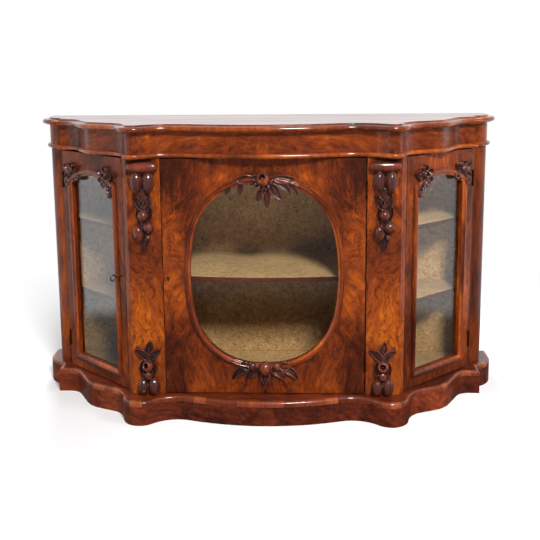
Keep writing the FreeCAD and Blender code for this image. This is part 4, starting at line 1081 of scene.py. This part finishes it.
def relief_marks(mesh):
    """Marks how far each point stands out of, or sinks below, what surrounds it."""
    near_turns, far_turns = 7, 40
    near_height, far_height = 0.0026, 0.006
    count = len(mesh.vertices)
    places = values_of(mesh.vertices, "co", 3)
    normals = values_of(mesh.vertex_normals, "vector", 3)
    a, b = values_of(mesh.edges, "vertices", 2, int).T
    links = np.bincount(a, minlength=count) + np.bincount(b, minlength=count)
    smooth = places.copy()
    stands = {}
    for turns in range(1, far_turns + 1):
        sums = [np.bincount(a, axis[b], count) + np.bincount(b, axis[a], count) for axis in smooth.T]
        smooth = np.stack(sums, axis=1) / np.maximum(links, 1)[:, None]
        if turns in (near_turns, far_turns):
            stands[turns] = np.einsum("ij,ij->i", places - smooth, normals)
    # Creases, and broad hollows even more, mark low for the painted shade in them; ridges mark high for their
    # rubbed wear
    marks = 0.5 + stands[near_turns] / near_height + np.minimum(stands[far_turns], 0.0) / far_height
    mark(mesh, "relief", "FLOAT", "value", np.clip(marks, 0.0, 1.0))


def carved(name, face, forms, settings, dull=()):
    """Grow the forms into one carving on its face, cut off flush behind.

    The ovals in dull, as (across, up, half width, half height), keep their dark stain and get no painted
    light where they stand out.
    """
    deepest = 32.0
    dull_height = 0.35
    vertices, faces = [], []
    for points, sides in forms:
        shift = len(vertices)
        vertices += points
        faces += [tuple(shift + index for index in side) for side in sides]
    block = piece_from(name + "_block", vertices, faces, "carving")
    with reshaping(block.data) as shape:
        bmesh.ops.remove_doubles(shape, verts=shape.verts, dist=0.001)
        bmesh.ops.dissolve_degenerate(shape, dist=0.001, edges=shape.edges)
        bmesh.ops.recalc_face_normals(shape, faces=shape.faces)
    remesh = block.modifiers.new("grow", "REMESH")
    remesh.mode = "VOXEL"
    remesh.voxel_size = settings.grain / MM
    smooth = block.modifiers.new("rub", "SMOOTH")
    smooth.factor = 0.5
    smooth.iterations = 2
    made = baked(name, block)
    with reshaping(made.data) as shape:
        everything = shape.verts[:] + shape.edges[:] + shape.faces[:]
        bmesh.ops.bisect_plane(
            shape, geom=everything, dist=0.0001, plane_co=(0, 0, 0), plane_no=(0, 1, 0), clear_inner=True)
        fill_open(shape)
        # How far each point stands out, from which the finish paints light on the high forms
        proud = shape.verts.layers.float.new("proud")
        for vert in shape.verts:
            vert[proud] = min(1.0, vert.co.y / deepest)
            for across, up, half_width, half_height in dull:
                if ((vert.co.x - across) / half_width) ** 2 + ((vert.co.z - up) / half_height) ** 2 < 1:
                    vert[proud] = min(vert[proud], dull_height)
        bmesh.ops.transform(shape, matrix=face.matrix(), verts=shape.verts)
        bmesh.ops.recalc_face_normals(shape, faces=shape.faces)
    shade(made.data, 70.0)
    relief_marks(made.data)
    return made


# Ovals round the pods and the nuts, which get no painted light where they stand out
PODS = ((-17.8, 744, 17, 34), (17.8, 744, 17, 34))
NUTS = ((-16.8, 103, 18, 30), (16.8, 103, 18, 30))


def upper_pilaster_forms(settings):
    """Bun, two pods in their husks, a spray of leaves, three fruits, a ball and a tail."""
    out = 13
    pod = settings.pod_radius / MM
    fruit = settings.fruit_radius / MM
    return [
        nut((0, 789.5), 14, 15.5, 46, angle=0, belly=0.42),
        plug(-26, 26, 14, 768, 782),
        nut((-17.8, 744), out, pod, 31, husk=0.2, ribs=14, rib_depth=0.014, belly=0.92),
        nut((17.8, 744), out, pod, 31, husk=0.2, ribs=14, rib_depth=0.014, belly=0.92),
        plug(-5, 5, 9, 690, 724),
        leaf((-2, 656), 112, 52, 26, 12, curl=0.22, hook=2.4, lift=0.4),
        leaf((0, 662), 92, 58, 24, 12, lift=0.4),
        leaf((4, 656), 64, 50, 27, 12, curl=0.22, hook=2.4, lift=0.4),
        nut((-1, 642), out, fruit, fruit, angle=100, belly=0.95),
        leaf((-4, 626), 132, 34, 18, 12, curl=-0.25, lift=0.5),
        leaf((8, 622), 62, 46, 20, 12, curl=0.2, lift=0.5),
        nut((14, 606), out, fruit, fruit, angle=80, belly=0.95),
        nut((-16, 588), out, 15.5, 24, angle=97, husk=0.10, belly=0.85),
        nut((10.5, 573), 6, 9.5, 10.5, angle=90),
        plug(-9, 10, 8, 580, 635),
        leaf((-2, 582), 268, 58, 15, 11, curl=-0.06, lift=-0.1),
        leaf((7, 572), 262, 46, 10, 9, curl=0.10, lift=-0.1),
    ]


def lower_pilaster_forms(settings, aside):
    """Crest of leaves, a bud in its hanging petals, a tongue and two ribbed nuts on the deck."""
    bud_radius = settings.bud_radius / MM
    return [
        nut((-16.8, 102.5), 13, 16.6, 26, husk=0.10, ribs=12, rib_depth=0.018, belly=0.92),
        nut((16.8, 104), 13, 17.6, 28, husk=0.10, ribs=12, rib_depth=0.018, belly=0.92),
        nut((0, 139), 13, 11.5, 14.5),
        plug(-13, 13, 9, 112, 175),
        bud((0, 171), 15, bud_radius, bud_radius / 3, lean=16, aside=aside),
        leaf((-14, 184), 250, 46, 19, 19, curl=0.25, lift=0.2),
        leaf((15, 181), 288, 42, 18, 19, curl=-0.25, lift=0.2),
        leaf((-7, 156), 262, 26, 13, 18, curl=0.2, lift=0.1),
        leaf((8, 156), 276, 26, 13, 18, curl=-0.2, lift=0.1),
        leaf((-4, 184), 112, 48, 26, 13, curl=0.46, hook=2.3, lift=0.4, full=0.9),
        leaf((0, 190), 88, 58, 29, 12, curl=-0.08, lift=0.4, full=0.9),
        leaf((5, 184), 66, 46, 26, 13, curl=-0.42, hook=2.3, lift=0.4, full=0.9),
    ]


OVAL_HEAD = OVAL_CENTRE + OVAL_HALF_HEIGHT
OVAL_FOOT = OVAL_CENTRE - OVAL_HALF_HEIGHT


def oval_head_forms():
    """Open bud in a collar of petals, a folded leaf each side and a fringe of leaves over the glass."""
    z = OVAL_HEAD
    forms = [
        bud((0, z + 12), 12, 20.5, 7, lean=32, aside=-14),
        plug(-40, 42, 9, z - 6, z + 14),
        leaf((-20, z + 12), 181, 62, 30, 17, curl=0.06, lift=0.1, full=1.1),
        leaf((20, z + 13), 357, 74, 28, 15, curl=0.02, lift=0, full=1.1),
        leaf((4, z - 12), 236, 55, 25, 15, curl=0.10, lift=0.4),
        leaf((7, z - 14), 274, 64, 28, 14, curl=0.02, lift=0.4),
        leaf((24, z - 4), 292, 56, 30, 16, curl=0.20, lift=0.4),
        leaf((38, z + 1), 348, 50, 25, 15, curl=-0.56, hook=2.5, lift=0.4),
        leaf((64, z + 2), 345, 48, 23, 14, curl=-0.66, hook=2.3, lift=0.4),
        leaf((-106, z - 8), 264, 31, 19, 15, curl=-0.1, lift=0.4, full=0.6),
        leaf((-68, z - 4), 262, 33, 20, 15, curl=0.1, lift=0.4, full=0.6),
        plug(-100, -60, 8, z - 8, z + 5),
        plug(56, 88, 8, z - 6, z + 8),
    ]
    for angle in (168, 196, 226, 258, 290, 322, 354):
        c, s = turn(angle)
        start = (c * 11, z + 11 + s * 11)
        forms.append(leaf(start, angle, 23, 19, 20, lift=0.25, full=1.1))
    return forms


def oval_foot_forms():
    """Ball between two small balls, a dished leaf each side and five leaves below."""
    z = OVAL_FOOT
    forms = [
        nut((0, z - 8), 12, 20, 20.5, husk=0.10, belly=0.96),
        nut((0, z - 28), 4, 10, 17, angle=0),
        nut((-37, z - 3), 14, 9.6, 12),
        nut((37, z - 3), 14, 9.6, 12),
        plug(-60, 60, 7, z - 20, z - 6),
    ]
    for hand in (-1, 1):
        def reach(x, up, angle, length, width, rise, curl, **shape):
            aimed = angle if hand == 1 else 180 - angle
            return leaf((x * hand, z + up), aimed, length, width, rise, curl=curl * hand, **shape)
        forms += [
            reach(40, -13, 20, 40, 29, 15, 0.06, lift=0.2, full=1.15),
            reach(50, -15, 2, 52, 25, 15, -0.66, hook=2.6, full=0.9),
            reach(16, -19, 357, 46, 26, 15, -0.62, hook=2.9, full=0.9),
        ]
    forms.append(leaf((0, z - 22), 270, 44, 31, 14, lift=0.2, full=0.6))
    return forms


def arch_forms():
    """At the outer corner scroll ends, balls and leaves; at the inner one a flower over a leaf."""
    z = ARCH_CROWN
    outer = [
        plug(36, 74, 7, z - 12, z + 14),
        nut((54, z + 10), 10, 13, 14, ribs=5, rib_depth=0.05),
        leaf((48, z + 8), 150, 32, 22, 16, curl=-0.2, lift=0.5),
        leaf((54, z + 14), 82, 22, 20, 15, lift=0.4),
        leaf((60, z + 8), 24, 34, 22, 16, curl=0.2, lift=0.4),
        scroll((34, z - 30), 80, 1.1, 14, 3.5, 5.4, 8),
        scroll((82, z - 12), 150, -1.1, 12.5, 3.5, 5, 8),
        leaf((44, z - 2), 226, 34, 24, 15, curl=-0.2, lift=0.2),
        leaf((62, z - 2), 300, 30, 20, 14, curl=0.2, lift=0.2),
    ]
    inner = [
        plug(222, 258, 7, z - 22, z + 14),
        bud((238, z + 10), 10, 13, 4.5, lean=12),
        leaf((230, z + 10), 160, 28, 22, 16, curl=-0.2, lift=0.4),
        leaf((236, z + 16), 96, 24, 20, 15, lift=0.4),
        leaf((246, z + 8), 6, 36, 24, 16, curl=0.15, lift=0.5),
        leaf((230, z), 208, 28, 20, 15, curl=-0.2, lift=0.4),
        scroll((226, z - 20), 60, 1.1, 12, 3, 5, 8),
        leaf((250, z - 6), 290, 50, 26, 16, curl=-0.2, lift=0.3),
        leaf((262, z - 26), 262, 34, 24, 15, curl=-0.1, lift=0.5),
        nut((260, z - 48), 8, 9, 12),
    ]
    return outer + inner


# Linings: the cloth glued to floors, shelves and back

def loose_parts(name):
    """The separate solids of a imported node, each as a list of its vertex places."""
    shape = bmesh.new()
    shape.from_mesh(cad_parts[name].data)
    bmesh.ops.remove_doubles(shape, verts=shape.verts, dist=0.000001)
    left = set(shape.verts)
    parts = []
    while left:
        group = [left.pop()]
        for found in group:
            for link in found.link_edges:
                other = link.other_vert(found)
                if other in left:
                    left.discard(other)
                    group.append(other)
        parts += floor_and_wall([vert.co.copy() for vert in group])
    shape.free()
    return parts


def reach_of(corners, axis):
    values = [corner[axis] for corner in corners]
    return min(values), max(values)


def floor_and_wall(corners):
    """Parts a floor sheet from the wall sheet that touches its rear edge."""
    least_side = 0.1
    front, rear = reach_of(corners, 1)
    foot, head = reach_of(corners, 2)
    if head - foot < least_side or rear - front < least_side:
        return [corners]
    return [
        [c for c in corners if c.z < foot + CLOTH * 1.2],
        [c for c in corners if c.z > foot + CLOTH * 0.8 and c.y > rear - CLOTH * 1.2],
    ]


def hull_spans(outline, x):
    """Front and back of a convex outline at a place across it."""
    slack = 1e-7
    found = []
    for a, b in zip(outline, outline[1:] + outline[:1]):
        if min(a[0], b[0]) - slack <= x <= max(a[0], b[0]) + slack:
            if abs(b[0] - a[0]) < slack:
                found += [a[1], b[1]]
            else:
                found.append(a[1] + (b[1] - a[1]) * (x - a[0]) / (b[0] - a[0]))
    return min(found), max(found)


def ordered(places):
    """Corner places of a flat outline in order round it."""
    middle = (sum(p[0] for p in places) / len(places), sum(p[1] for p in places) / len(places))
    return sorted(places, key=lambda p: math.atan2(p[1] - middle[1], p[0] - middle[0]))


def cells_between(stops, spacing):
    """Places about a spacing apart from the first stop to the last, just short of each corner."""
    clear = 0.00002
    least = 0.0005
    places = []
    for a, b in zip(stops, stops[1:]):
        if b - a < least:
            continue
        count = max(1, round((b - a) / spacing))
        places += [a + clear + (b - a - 2 * clear) * i / count for i in range(count + 1)]
    places[0], places[-1] = stops[0], stops[-1]
    return places


def lining(name, corners, node_name, settings):
    """One glued sheet with a soft edge and a slightly uneven nap, from its solid's corners."""
    edge_drop = 0.0012
    nap_drop = 0.00045
    low, high = [Vector(ends) for ends in zip(*(reach_of(corners, axis) for axis in range(3)))]
    upright = high.y - low.y < high.z - low.z
    depth = 2 if upright else 1
    flat = ordered({(round(c[0], 6), round(c[depth], 6)) for c in corners})
    across = cells_between(sorted({p[0] for p in flat}), settings.spacing)
    rows = max(6, round((high[depth] - low[depth]) / settings.spacing))
    shares = [0.0] + [(j + 0.5) / rows for j in range(rows)] + [1.0]
    front, back = [], []
    for i, x in enumerate(across):
        first, last = hull_spans(flat, x)
        for j, share in enumerate(shares):
            y = first + (last - first) * share
            nap = settings.unevenness * (math.sin(61 * x + 17 * y) + math.sin(43 * y - 23 * x + 1.3))
            drop = nap_drop - nap
            if i in (0, len(across) - 1) or j in (0, len(shares) - 1):
                drop = edge_drop
            front.append((x, low.y + drop, y) if upright else (x, y, high.z - drop))
            back.append((x, high.y, y) if upright else (x, y, low.z))
    piece = piece_from(name, front + back, slab_faces(len(across), len(shares)), "cloth")
    settle(piece, sharp=60.0, merge=0.0000001)
    declare(piece, "carcass", "cloth", node_name)


# Stage

def look(location, pitch, yaw, roll):
    """Camera placing from its tilt down, its turn to the left and its lean, in degrees."""
    turned = Matrix.Rotation(math.radians(yaw), 4, "Z") @ Matrix.Rotation(math.radians(90 - pitch), 4, "X")
    return Matrix.Translation(location) @ turned @ Matrix.Rotation(math.radians(roll), 4, "Z")


def make_camera(settings):
    data = bpy.data.cameras.new("camera")
    data.sensor_width = 36.0
    data.lens = settings.lens
    data.shift_y = settings.shift
    camera = linked("camera", data)
    camera.matrix_world = look(Vector(settings.place), settings.pitch, settings.yaw, settings.roll)
    bpy.context.scene.camera = camera


def room_glow(tree, direction):
    """How bright the room looks in the polish: white behind and to the left, dim in front."""
    way = parts_of(tree, bend(tree, "NORMALIZE", direction))
    behind = spread(tree, way["Y"], -0.55, 0.20, 0.20, 1.0)
    return calc(tree, "MAXIMUM", behind, spread(tree, way["X"], -0.45, -0.85))


def rays(tree):
    """Marks the rays that polish mirrors, and those of the eye, straight or through glass."""
    path = node(tree, "ShaderNodeLightPath").outputs
    return path["Is Glossy Ray"], calc(tree, "MAXIMUM", path["Is Camera Ray"], path["Is Transmission Ray"])


def shining(tree, strength):
    return node(tree, "ShaderNodeEmission", {"Color": linear(1.0), "Strength": strength}).outputs[0]


def make_floor(settings):
    """Pale floor, white to the eye at a distance, and as bright as the room in the polish."""
    size = settings.floor_size
    floor = linked("floor", bpy.data.meshes.new("floor"))
    corners = [(-size, -size, 0), (size, -size, 0), (size, size, 0), (-size, size, 0)]
    floor.data.from_pydata(corners, [], [(0, 1, 2, 3)])
    material, tree, shader = new_material("floor_paint")
    feed(tree, shader, {"Base Color": linear(0.9), "Roughness": 0.9, "Specular IOR Level": 0.1})
    coords = object_place(tree)
    distance = node(tree, "ShaderNodeVectorMath", {0: coords}, operation="LENGTH").outputs["Value"]
    mirrored, seen = rays(tree)
    far = calc(tree, "MULTIPLY", spread(tree, distance, 0.95, 2.0), seen)
    plain = mixed(tree, far, shader.outputs[0], shining(tree, 1.0))
    beyond = spread(tree, distance, 1.32, 1.50, 0.16, 0.95)
    surface(tree, mirrored, plain, shining(tree, calc(tree, "MULTIPLY", room_glow(tree, coords), beyond)))
    floor.data.materials.append(material)


def make_world(settings):
    """Plain light all round: white to the eye, and a bright room in the polish."""
    world = bpy.data.worlds.new("room")
    world.use_nodes = True
    bpy.context.scene.world = world
    tree = world.node_tree
    mirrored, seen = rays(tree)
    glow = room_glow(tree, node(tree, "ShaderNodeTexCoord").outputs["Generated"])
    level = calc(tree, "MAXIMUM", seen, calc(tree, "MULTIPLY", mirrored, glow))
    other = calc(tree, "SUBTRACT", 1.0, calc(tree, "MAXIMUM", seen, mirrored))
    level = calc(tree, "ADD", level, calc(tree, "MULTIPLY", other, settings.room_light))
    feed(tree, tree.nodes["Background"], {"Strength": level, "Color": linear(1.0)})


# Each lamp's place, the point that it faces, its size, its share of the power, and whether polish mirrors it
LAMPS = {
    "key_lamp": ((0.95, -3.3, 3.35), (0, 0, 0.45), (0.9, 0.7), 1.0, True),
    "left_lamp": ((-3.0, -1.3, 2.7), (-0.3, 0, 0.5), (1.2, 1.2), 0.09, False),
    "right_lamp": ((3.0, -1.2, 2.7), (0.3, 0, 0.5), (1.0, 1.2), 0.19, False),
    "rear_lamp": ((-0.8, 3.4, 2.8), (0, 0.2, 0.45), (1.6, 1.2), 0.5, False),
}


def make_lamps(settings):
    for name, (place, target, size, share, mirrored) in LAMPS.items():
        data = bpy.data.lights.new(name, "AREA")
        data.shape = "RECTANGLE"
        data.size, data.size_y = size
        data.energy = settings.lamp_power * share
        lamp = linked(name, data)
        lamp.visible_glossy = mirrored
        lamp.location = place
        aim = Vector(target) - Vector(place)
        lamp.rotation_euler = aim.to_track_quat("-Z", "Y").to_euler()


# Settings

def colour(name, description, red, green, blue):
    """A colour setting, from the colour's screen values."""
    return bpy.props.FloatVectorProperty(
        name=name, description=description, default=srgb(red, green, blue), size=4, min=0.0, max=1.0,
        subtype="COLOR")


def tone_of(wood_name, tone, *screen):
    """A colour setting for one of a wood's tones."""
    name = wood_name.capitalize() + ", " + tone
    return colour(name, tone.capitalize() + " tone of the " + wood_name, *screen)


def length(name, description, millimetres):
    """A size setting, from millimetres."""
    return bpy.props.FloatProperty(
        name=name, description=description, default=millimetres * MM, min=0.0, precision=4, unit="LENGTH")


def number(name, description, value, **limits):
    return bpy.props.FloatProperty(name=name, description=description, default=value, **limits)


class CredenzaFinishSettings(bpy.types.PropertyGroup):
    burr_deep: tone_of("burr veneer", "deepest", 54, 19, 7)
    burr_dark: tone_of("burr veneer", "dark", 82, 31, 9)
    burr_brown: tone_of("burr veneer", "brown", 116, 47, 11)
    burr_warm: tone_of("burr veneer", "warm", 148, 67, 12)
    burr_bright: tone_of("burr veneer", "bright", 188, 99, 18)
    red_deep: tone_of("red walnut", "deepest", 46, 16, 9)
    red_dark: tone_of("red walnut", "dark", 70, 26, 13)
    red_brown: tone_of("red walnut", "brown", 98, 38, 18)
    red_warm: tone_of("red walnut", "warm", 122, 51, 23)
    red_bright: tone_of("red walnut", "bright", 150, 72, 30)
    carving_deep: tone_of("stained carving", "deepest", 40, 20, 16)
    carving_dark: tone_of("stained carving", "dark", 58, 28, 23)
    carving_brown: tone_of("stained carving", "brown", 74, 36, 30)
    carving_warm: tone_of("stained carving", "warm", 90, 45, 36)
    carving_bright: tone_of("stained carving", "bright", 112, 58, 45)
    cloth_shade: colour("Cloth, between the nap", "Lining cloth, deepest", 134, 94, 58)
    cloth_ground: colour("Cloth, ground", "Lining cloth, ground", 190, 148, 98)
    cloth_nap: colour("Cloth, nap", "Lining cloth, raised nap", 220, 178, 124)
    cloth_tip: colour("Cloth, tips", "Lining cloth, lightest tips", 240, 204, 152)
    glass_tint: colour("Glass", "What the panes let through", 251, 252, 251)
    brass: colour("Brass", "Locks and strikes", 180, 140, 80)
    brass_tarnish: colour("Brass, tarnished", "Stains on the locks and strikes", 110, 78, 42)
    steel: colour("Steel", "Key and bolts", 120, 112, 104)
    steel_tarnish: colour("Steel, tarnished", "Stains on the key and bolts", 58, 50, 46)


class CredenzaMouldingSettings(bpy.types.PropertyGroup):
    nose_reach: length("Top nose, out", "How far the top's nose stands out of its hollow", 9.0)
    nose_rise: length("Top nose, up", "Half the height of the top's nose", 8.0)
    bead_reach: length("Bead", "How far the bead stands out under the frieze", 7.0)
    band_round: length("Plinth edge", "Radius of the plinth's rounded edge", 8.0)


class CredenzaCarvingSettings(bpy.types.PropertyGroup):
    grain: length("Grain", "Finest detail of the carving", 1.3)
    pod_radius: length("Pods", "Radius of the pods under the bun", 17.6)
    fruit_radius: length("Fruits", "Radius of the round fruits", 16.0)
    bud_radius: length("Buds", "Radius of the buds at the pilasters' feet", 17.5)


class CredenzaLiningSettings(bpy.types.PropertyGroup):
    spacing: length("Cell", "Size of the cloth's cells", 11.0)
    unevenness: length("Unevenness", "Height of the cloth's soft waves", 0.22)


class CredenzaStageSettings(bpy.types.PropertyGroup):
    place: bpy.props.FloatVectorProperty(
        name="Camera place", description="Where the camera stands", default=(0.098, -2.419, 1.116),
        subtype="TRANSLATION")
    pitch: number("Tilt down", "Camera tilt in degrees", 8.68)
    yaw: number("Turn left", "Camera turn in degrees", 1.96)
    roll: number("Lean", "Camera lean in degrees", -0.50)
    lens: number("Lens", "Focal length in millimetres", 51.67)
    shift: number("Shift", "Camera shift up", -0.18)
    floor_size: number("Floor", "Half the floor's side", 30.0, subtype="DISTANCE")
    room_light: number("Room light", "Strength of the room's light", 0.13)
    lamp_power: number("Lamp power", "Power of the front lamp", 235.0)


class CREDENZA_OT_finishes(bpy.types.Operator):
    """Mix the finishes and polish the pieces that the frame already holds"""
    bl_idname = "credenza.finishes"
    bl_label = "Finishes"

    def execute(self, context):
        mix_finishes(context.scene.credenza_finishes)
        polish_nodes()
        return {"FINISHED"}


class CREDENZA_OT_plan_mouldings(bpy.types.Operator):
    """Draw the top's moulding, the bead under the frieze and the plinth's banded edge round the plan"""
    bl_idname = "credenza.plan_mouldings"
    bl_label = "Mouldings round the front"

    def execute(self, context):
        settings = context.scene.credenza_mouldings
        path = [(place * MM, side) for place, side in plan_path()]
        rows = (
            ("top_nose", top_section(settings), "nose", "top_walnut", "top_moulding"),
            ("bead_under_frieze", bead_section(settings), "edge", "crossband", "frieze_bead"),
            ("plinth_band", edge_section(settings), "band", "crossband", "plinth_edge_band"),
        )
        for name, section, finish, slot, replaced in rows:
            piece = moulding(name, path, section, UP, finish)
            declare(piece, "carcass", slot, replaced)
        return {"FINISHED"}


class CREDENZA_OT_door_mouldings(bpy.types.Operator):
    """Draw the rounded mouldings of the oval and of both arches"""
    bl_idname = "credenza.door_mouldings"
    bl_label = "Mouldings of the doors"

    def execute(self, context):
        for name, door, face, loop, section, up in (
                ("oval", "centre_door", CENTRE_DOOR, oval_loop, oval_section(), OVAL_CENTRE),
                ("right_arch", "right_door", RIGHT_DOOR, arch_loop, arch_section(), 0.0),
                ("left_arch", "left_door", LEFT_DOOR, arch_loop, arch_section(), 0.0)):
            path = door_path(face, loop, up)
            piece = moulding(name + "_moulding", path, section, face.out, "door_moulding", closed=True)
            declare(piece, door, "dark_walnut", door + "_moulding")
        return {"FINISHED"}


class CREDENZA_OT_carvings(bpy.types.Operator):
    """Carve the fruit, bud and leaf ornaments of the pilasters and doors"""
    bl_idname = "credenza.carvings"
    bl_label = "Carvings"

    def execute(self, context):
        settings = context.scene.credenza_carvings
        rows = []
        for hand, face, aside in (("right", RIGHT_PILASTER, -6.0), ("left", LEFT_PILASTER, -24.0)):
            upper = upper_pilaster_forms(settings)
            lower = lower_pilaster_forms(settings, aside)
            rows += [
                ("fruit_drop_" + hand, face, upper, "carcass", "upper_carving_" + hand, PODS),
                ("nut_foot_" + hand, face, lower, "carcass", "lower_carving_" + hand, NUTS),
            ]
        for name, face, forms, door, place in (
                ("oval_head_spray", CENTRE_DOOR, oval_head_forms(), "centre_door", "_top"),
                ("oval_foot_spray", CENTRE_DOOR, oval_foot_forms(), "centre_door", "_foot"),
                ("arch_corners_right", RIGHT_DOOR, arch_forms(), "right_door", ""),
                ("arch_corners_left", LEFT_DOOR, arch_forms(), "left_door", "")):
            rows.append((name, face, forms, door, door + place + "_carving", ()))
        for name, face, forms, body, replaced, dull in rows:
            declare(carved(name, face, forms, settings, dull), body, "carved_walnut", replaced)
        return {"FINISHED"}


class CREDENZA_OT_linings(bpy.types.Operator):
    """Lay the cloth on the floors and shelves and up the back"""
    bl_idname = "credenza.linings"
    bl_label = "Linings"

    def execute(self, context):
        settings = context.scene.credenza_linings
        for hand in ("centre", "right", "left"):
            parts = loose_parts(hand + "_cloth")
            parts.sort(key=lambda part: sum(c.z for c in part) / len(part))
            for number, part in enumerate(parts, 1):
                lining(hand + "_lining_" + str(number), part, hand + "_cloth", settings)
        return {"FINISHED"}


class CREDENZA_OT_stage(bpy.types.Operator):
    """Set up the floor, the light and the camera"""
    bl_idname = "credenza.stage"
    bl_label = "Stage"

    def execute(self, context):
        settings = context.scene.credenza_stage
        context.scene.view_settings.view_transform = "Standard"
        make_floor(settings)
        make_world(settings)
        make_lamps(settings)
        make_camera(settings)
        return {"FINISHED"}


OPERATORS = (
    CREDENZA_OT_finishes, CREDENZA_OT_plan_mouldings, CREDENZA_OT_door_mouldings, CREDENZA_OT_carvings,
    CREDENZA_OT_linings, CREDENZA_OT_stage,
)


class CREDENZA_PT_panel(bpy.types.Panel):
    """Lists the settings and the steps that dress the credenza"""
    bl_idname = "CREDENZA_PT_panel"
    bl_label = "Credenza"
    bl_space_type = "VIEW_3D"
    bl_region_type = "UI"
    bl_category = "Credenza"

    def draw(self, context):
        for group_name, kind in GROUPS.items():
            box = self.layout.box()
            for setting in kind.__annotations__:
                box.prop(getattr(context.scene, group_name), setting)
        for operator in OPERATORS:
            self.layout.operator(operator.bl_idname)


GROUPS = {
    "credenza_finishes": CredenzaFinishSettings,
    "credenza_mouldings": CredenzaMouldingSettings,
    "credenza_carvings": CredenzaCarvingSettings,
    "credenza_linings": CredenzaLiningSettings,
    "credenza_stage": CredenzaStageSettings,
}
CLASSES = tuple(GROUPS.values()) + OPERATORS + (CREDENZA_PT_panel,)


def register():
    for kind in CLASSES:
        bpy.utils.register_class(kind)
    for group_name, kind in GROUPS.items():
        setattr(bpy.types.Scene, group_name, bpy.props.PointerProperty(type=kind))


def unregister():
    for group_name in GROUPS:
        delattr(bpy.types.Scene, group_name)
    for kind in reversed(CLASSES):
        bpy.utils.unregister_class(kind)


def main():
    register()
    bpy.ops.credenza.finishes()
    bpy.ops.credenza.plan_mouldings()
    bpy.ops.credenza.door_mouldings()
    bpy.ops.credenza.carvings()
    bpy.ops.credenza.linings()
    bpy.ops.credenza.stage()


if __name__ == "__main__":
    main()
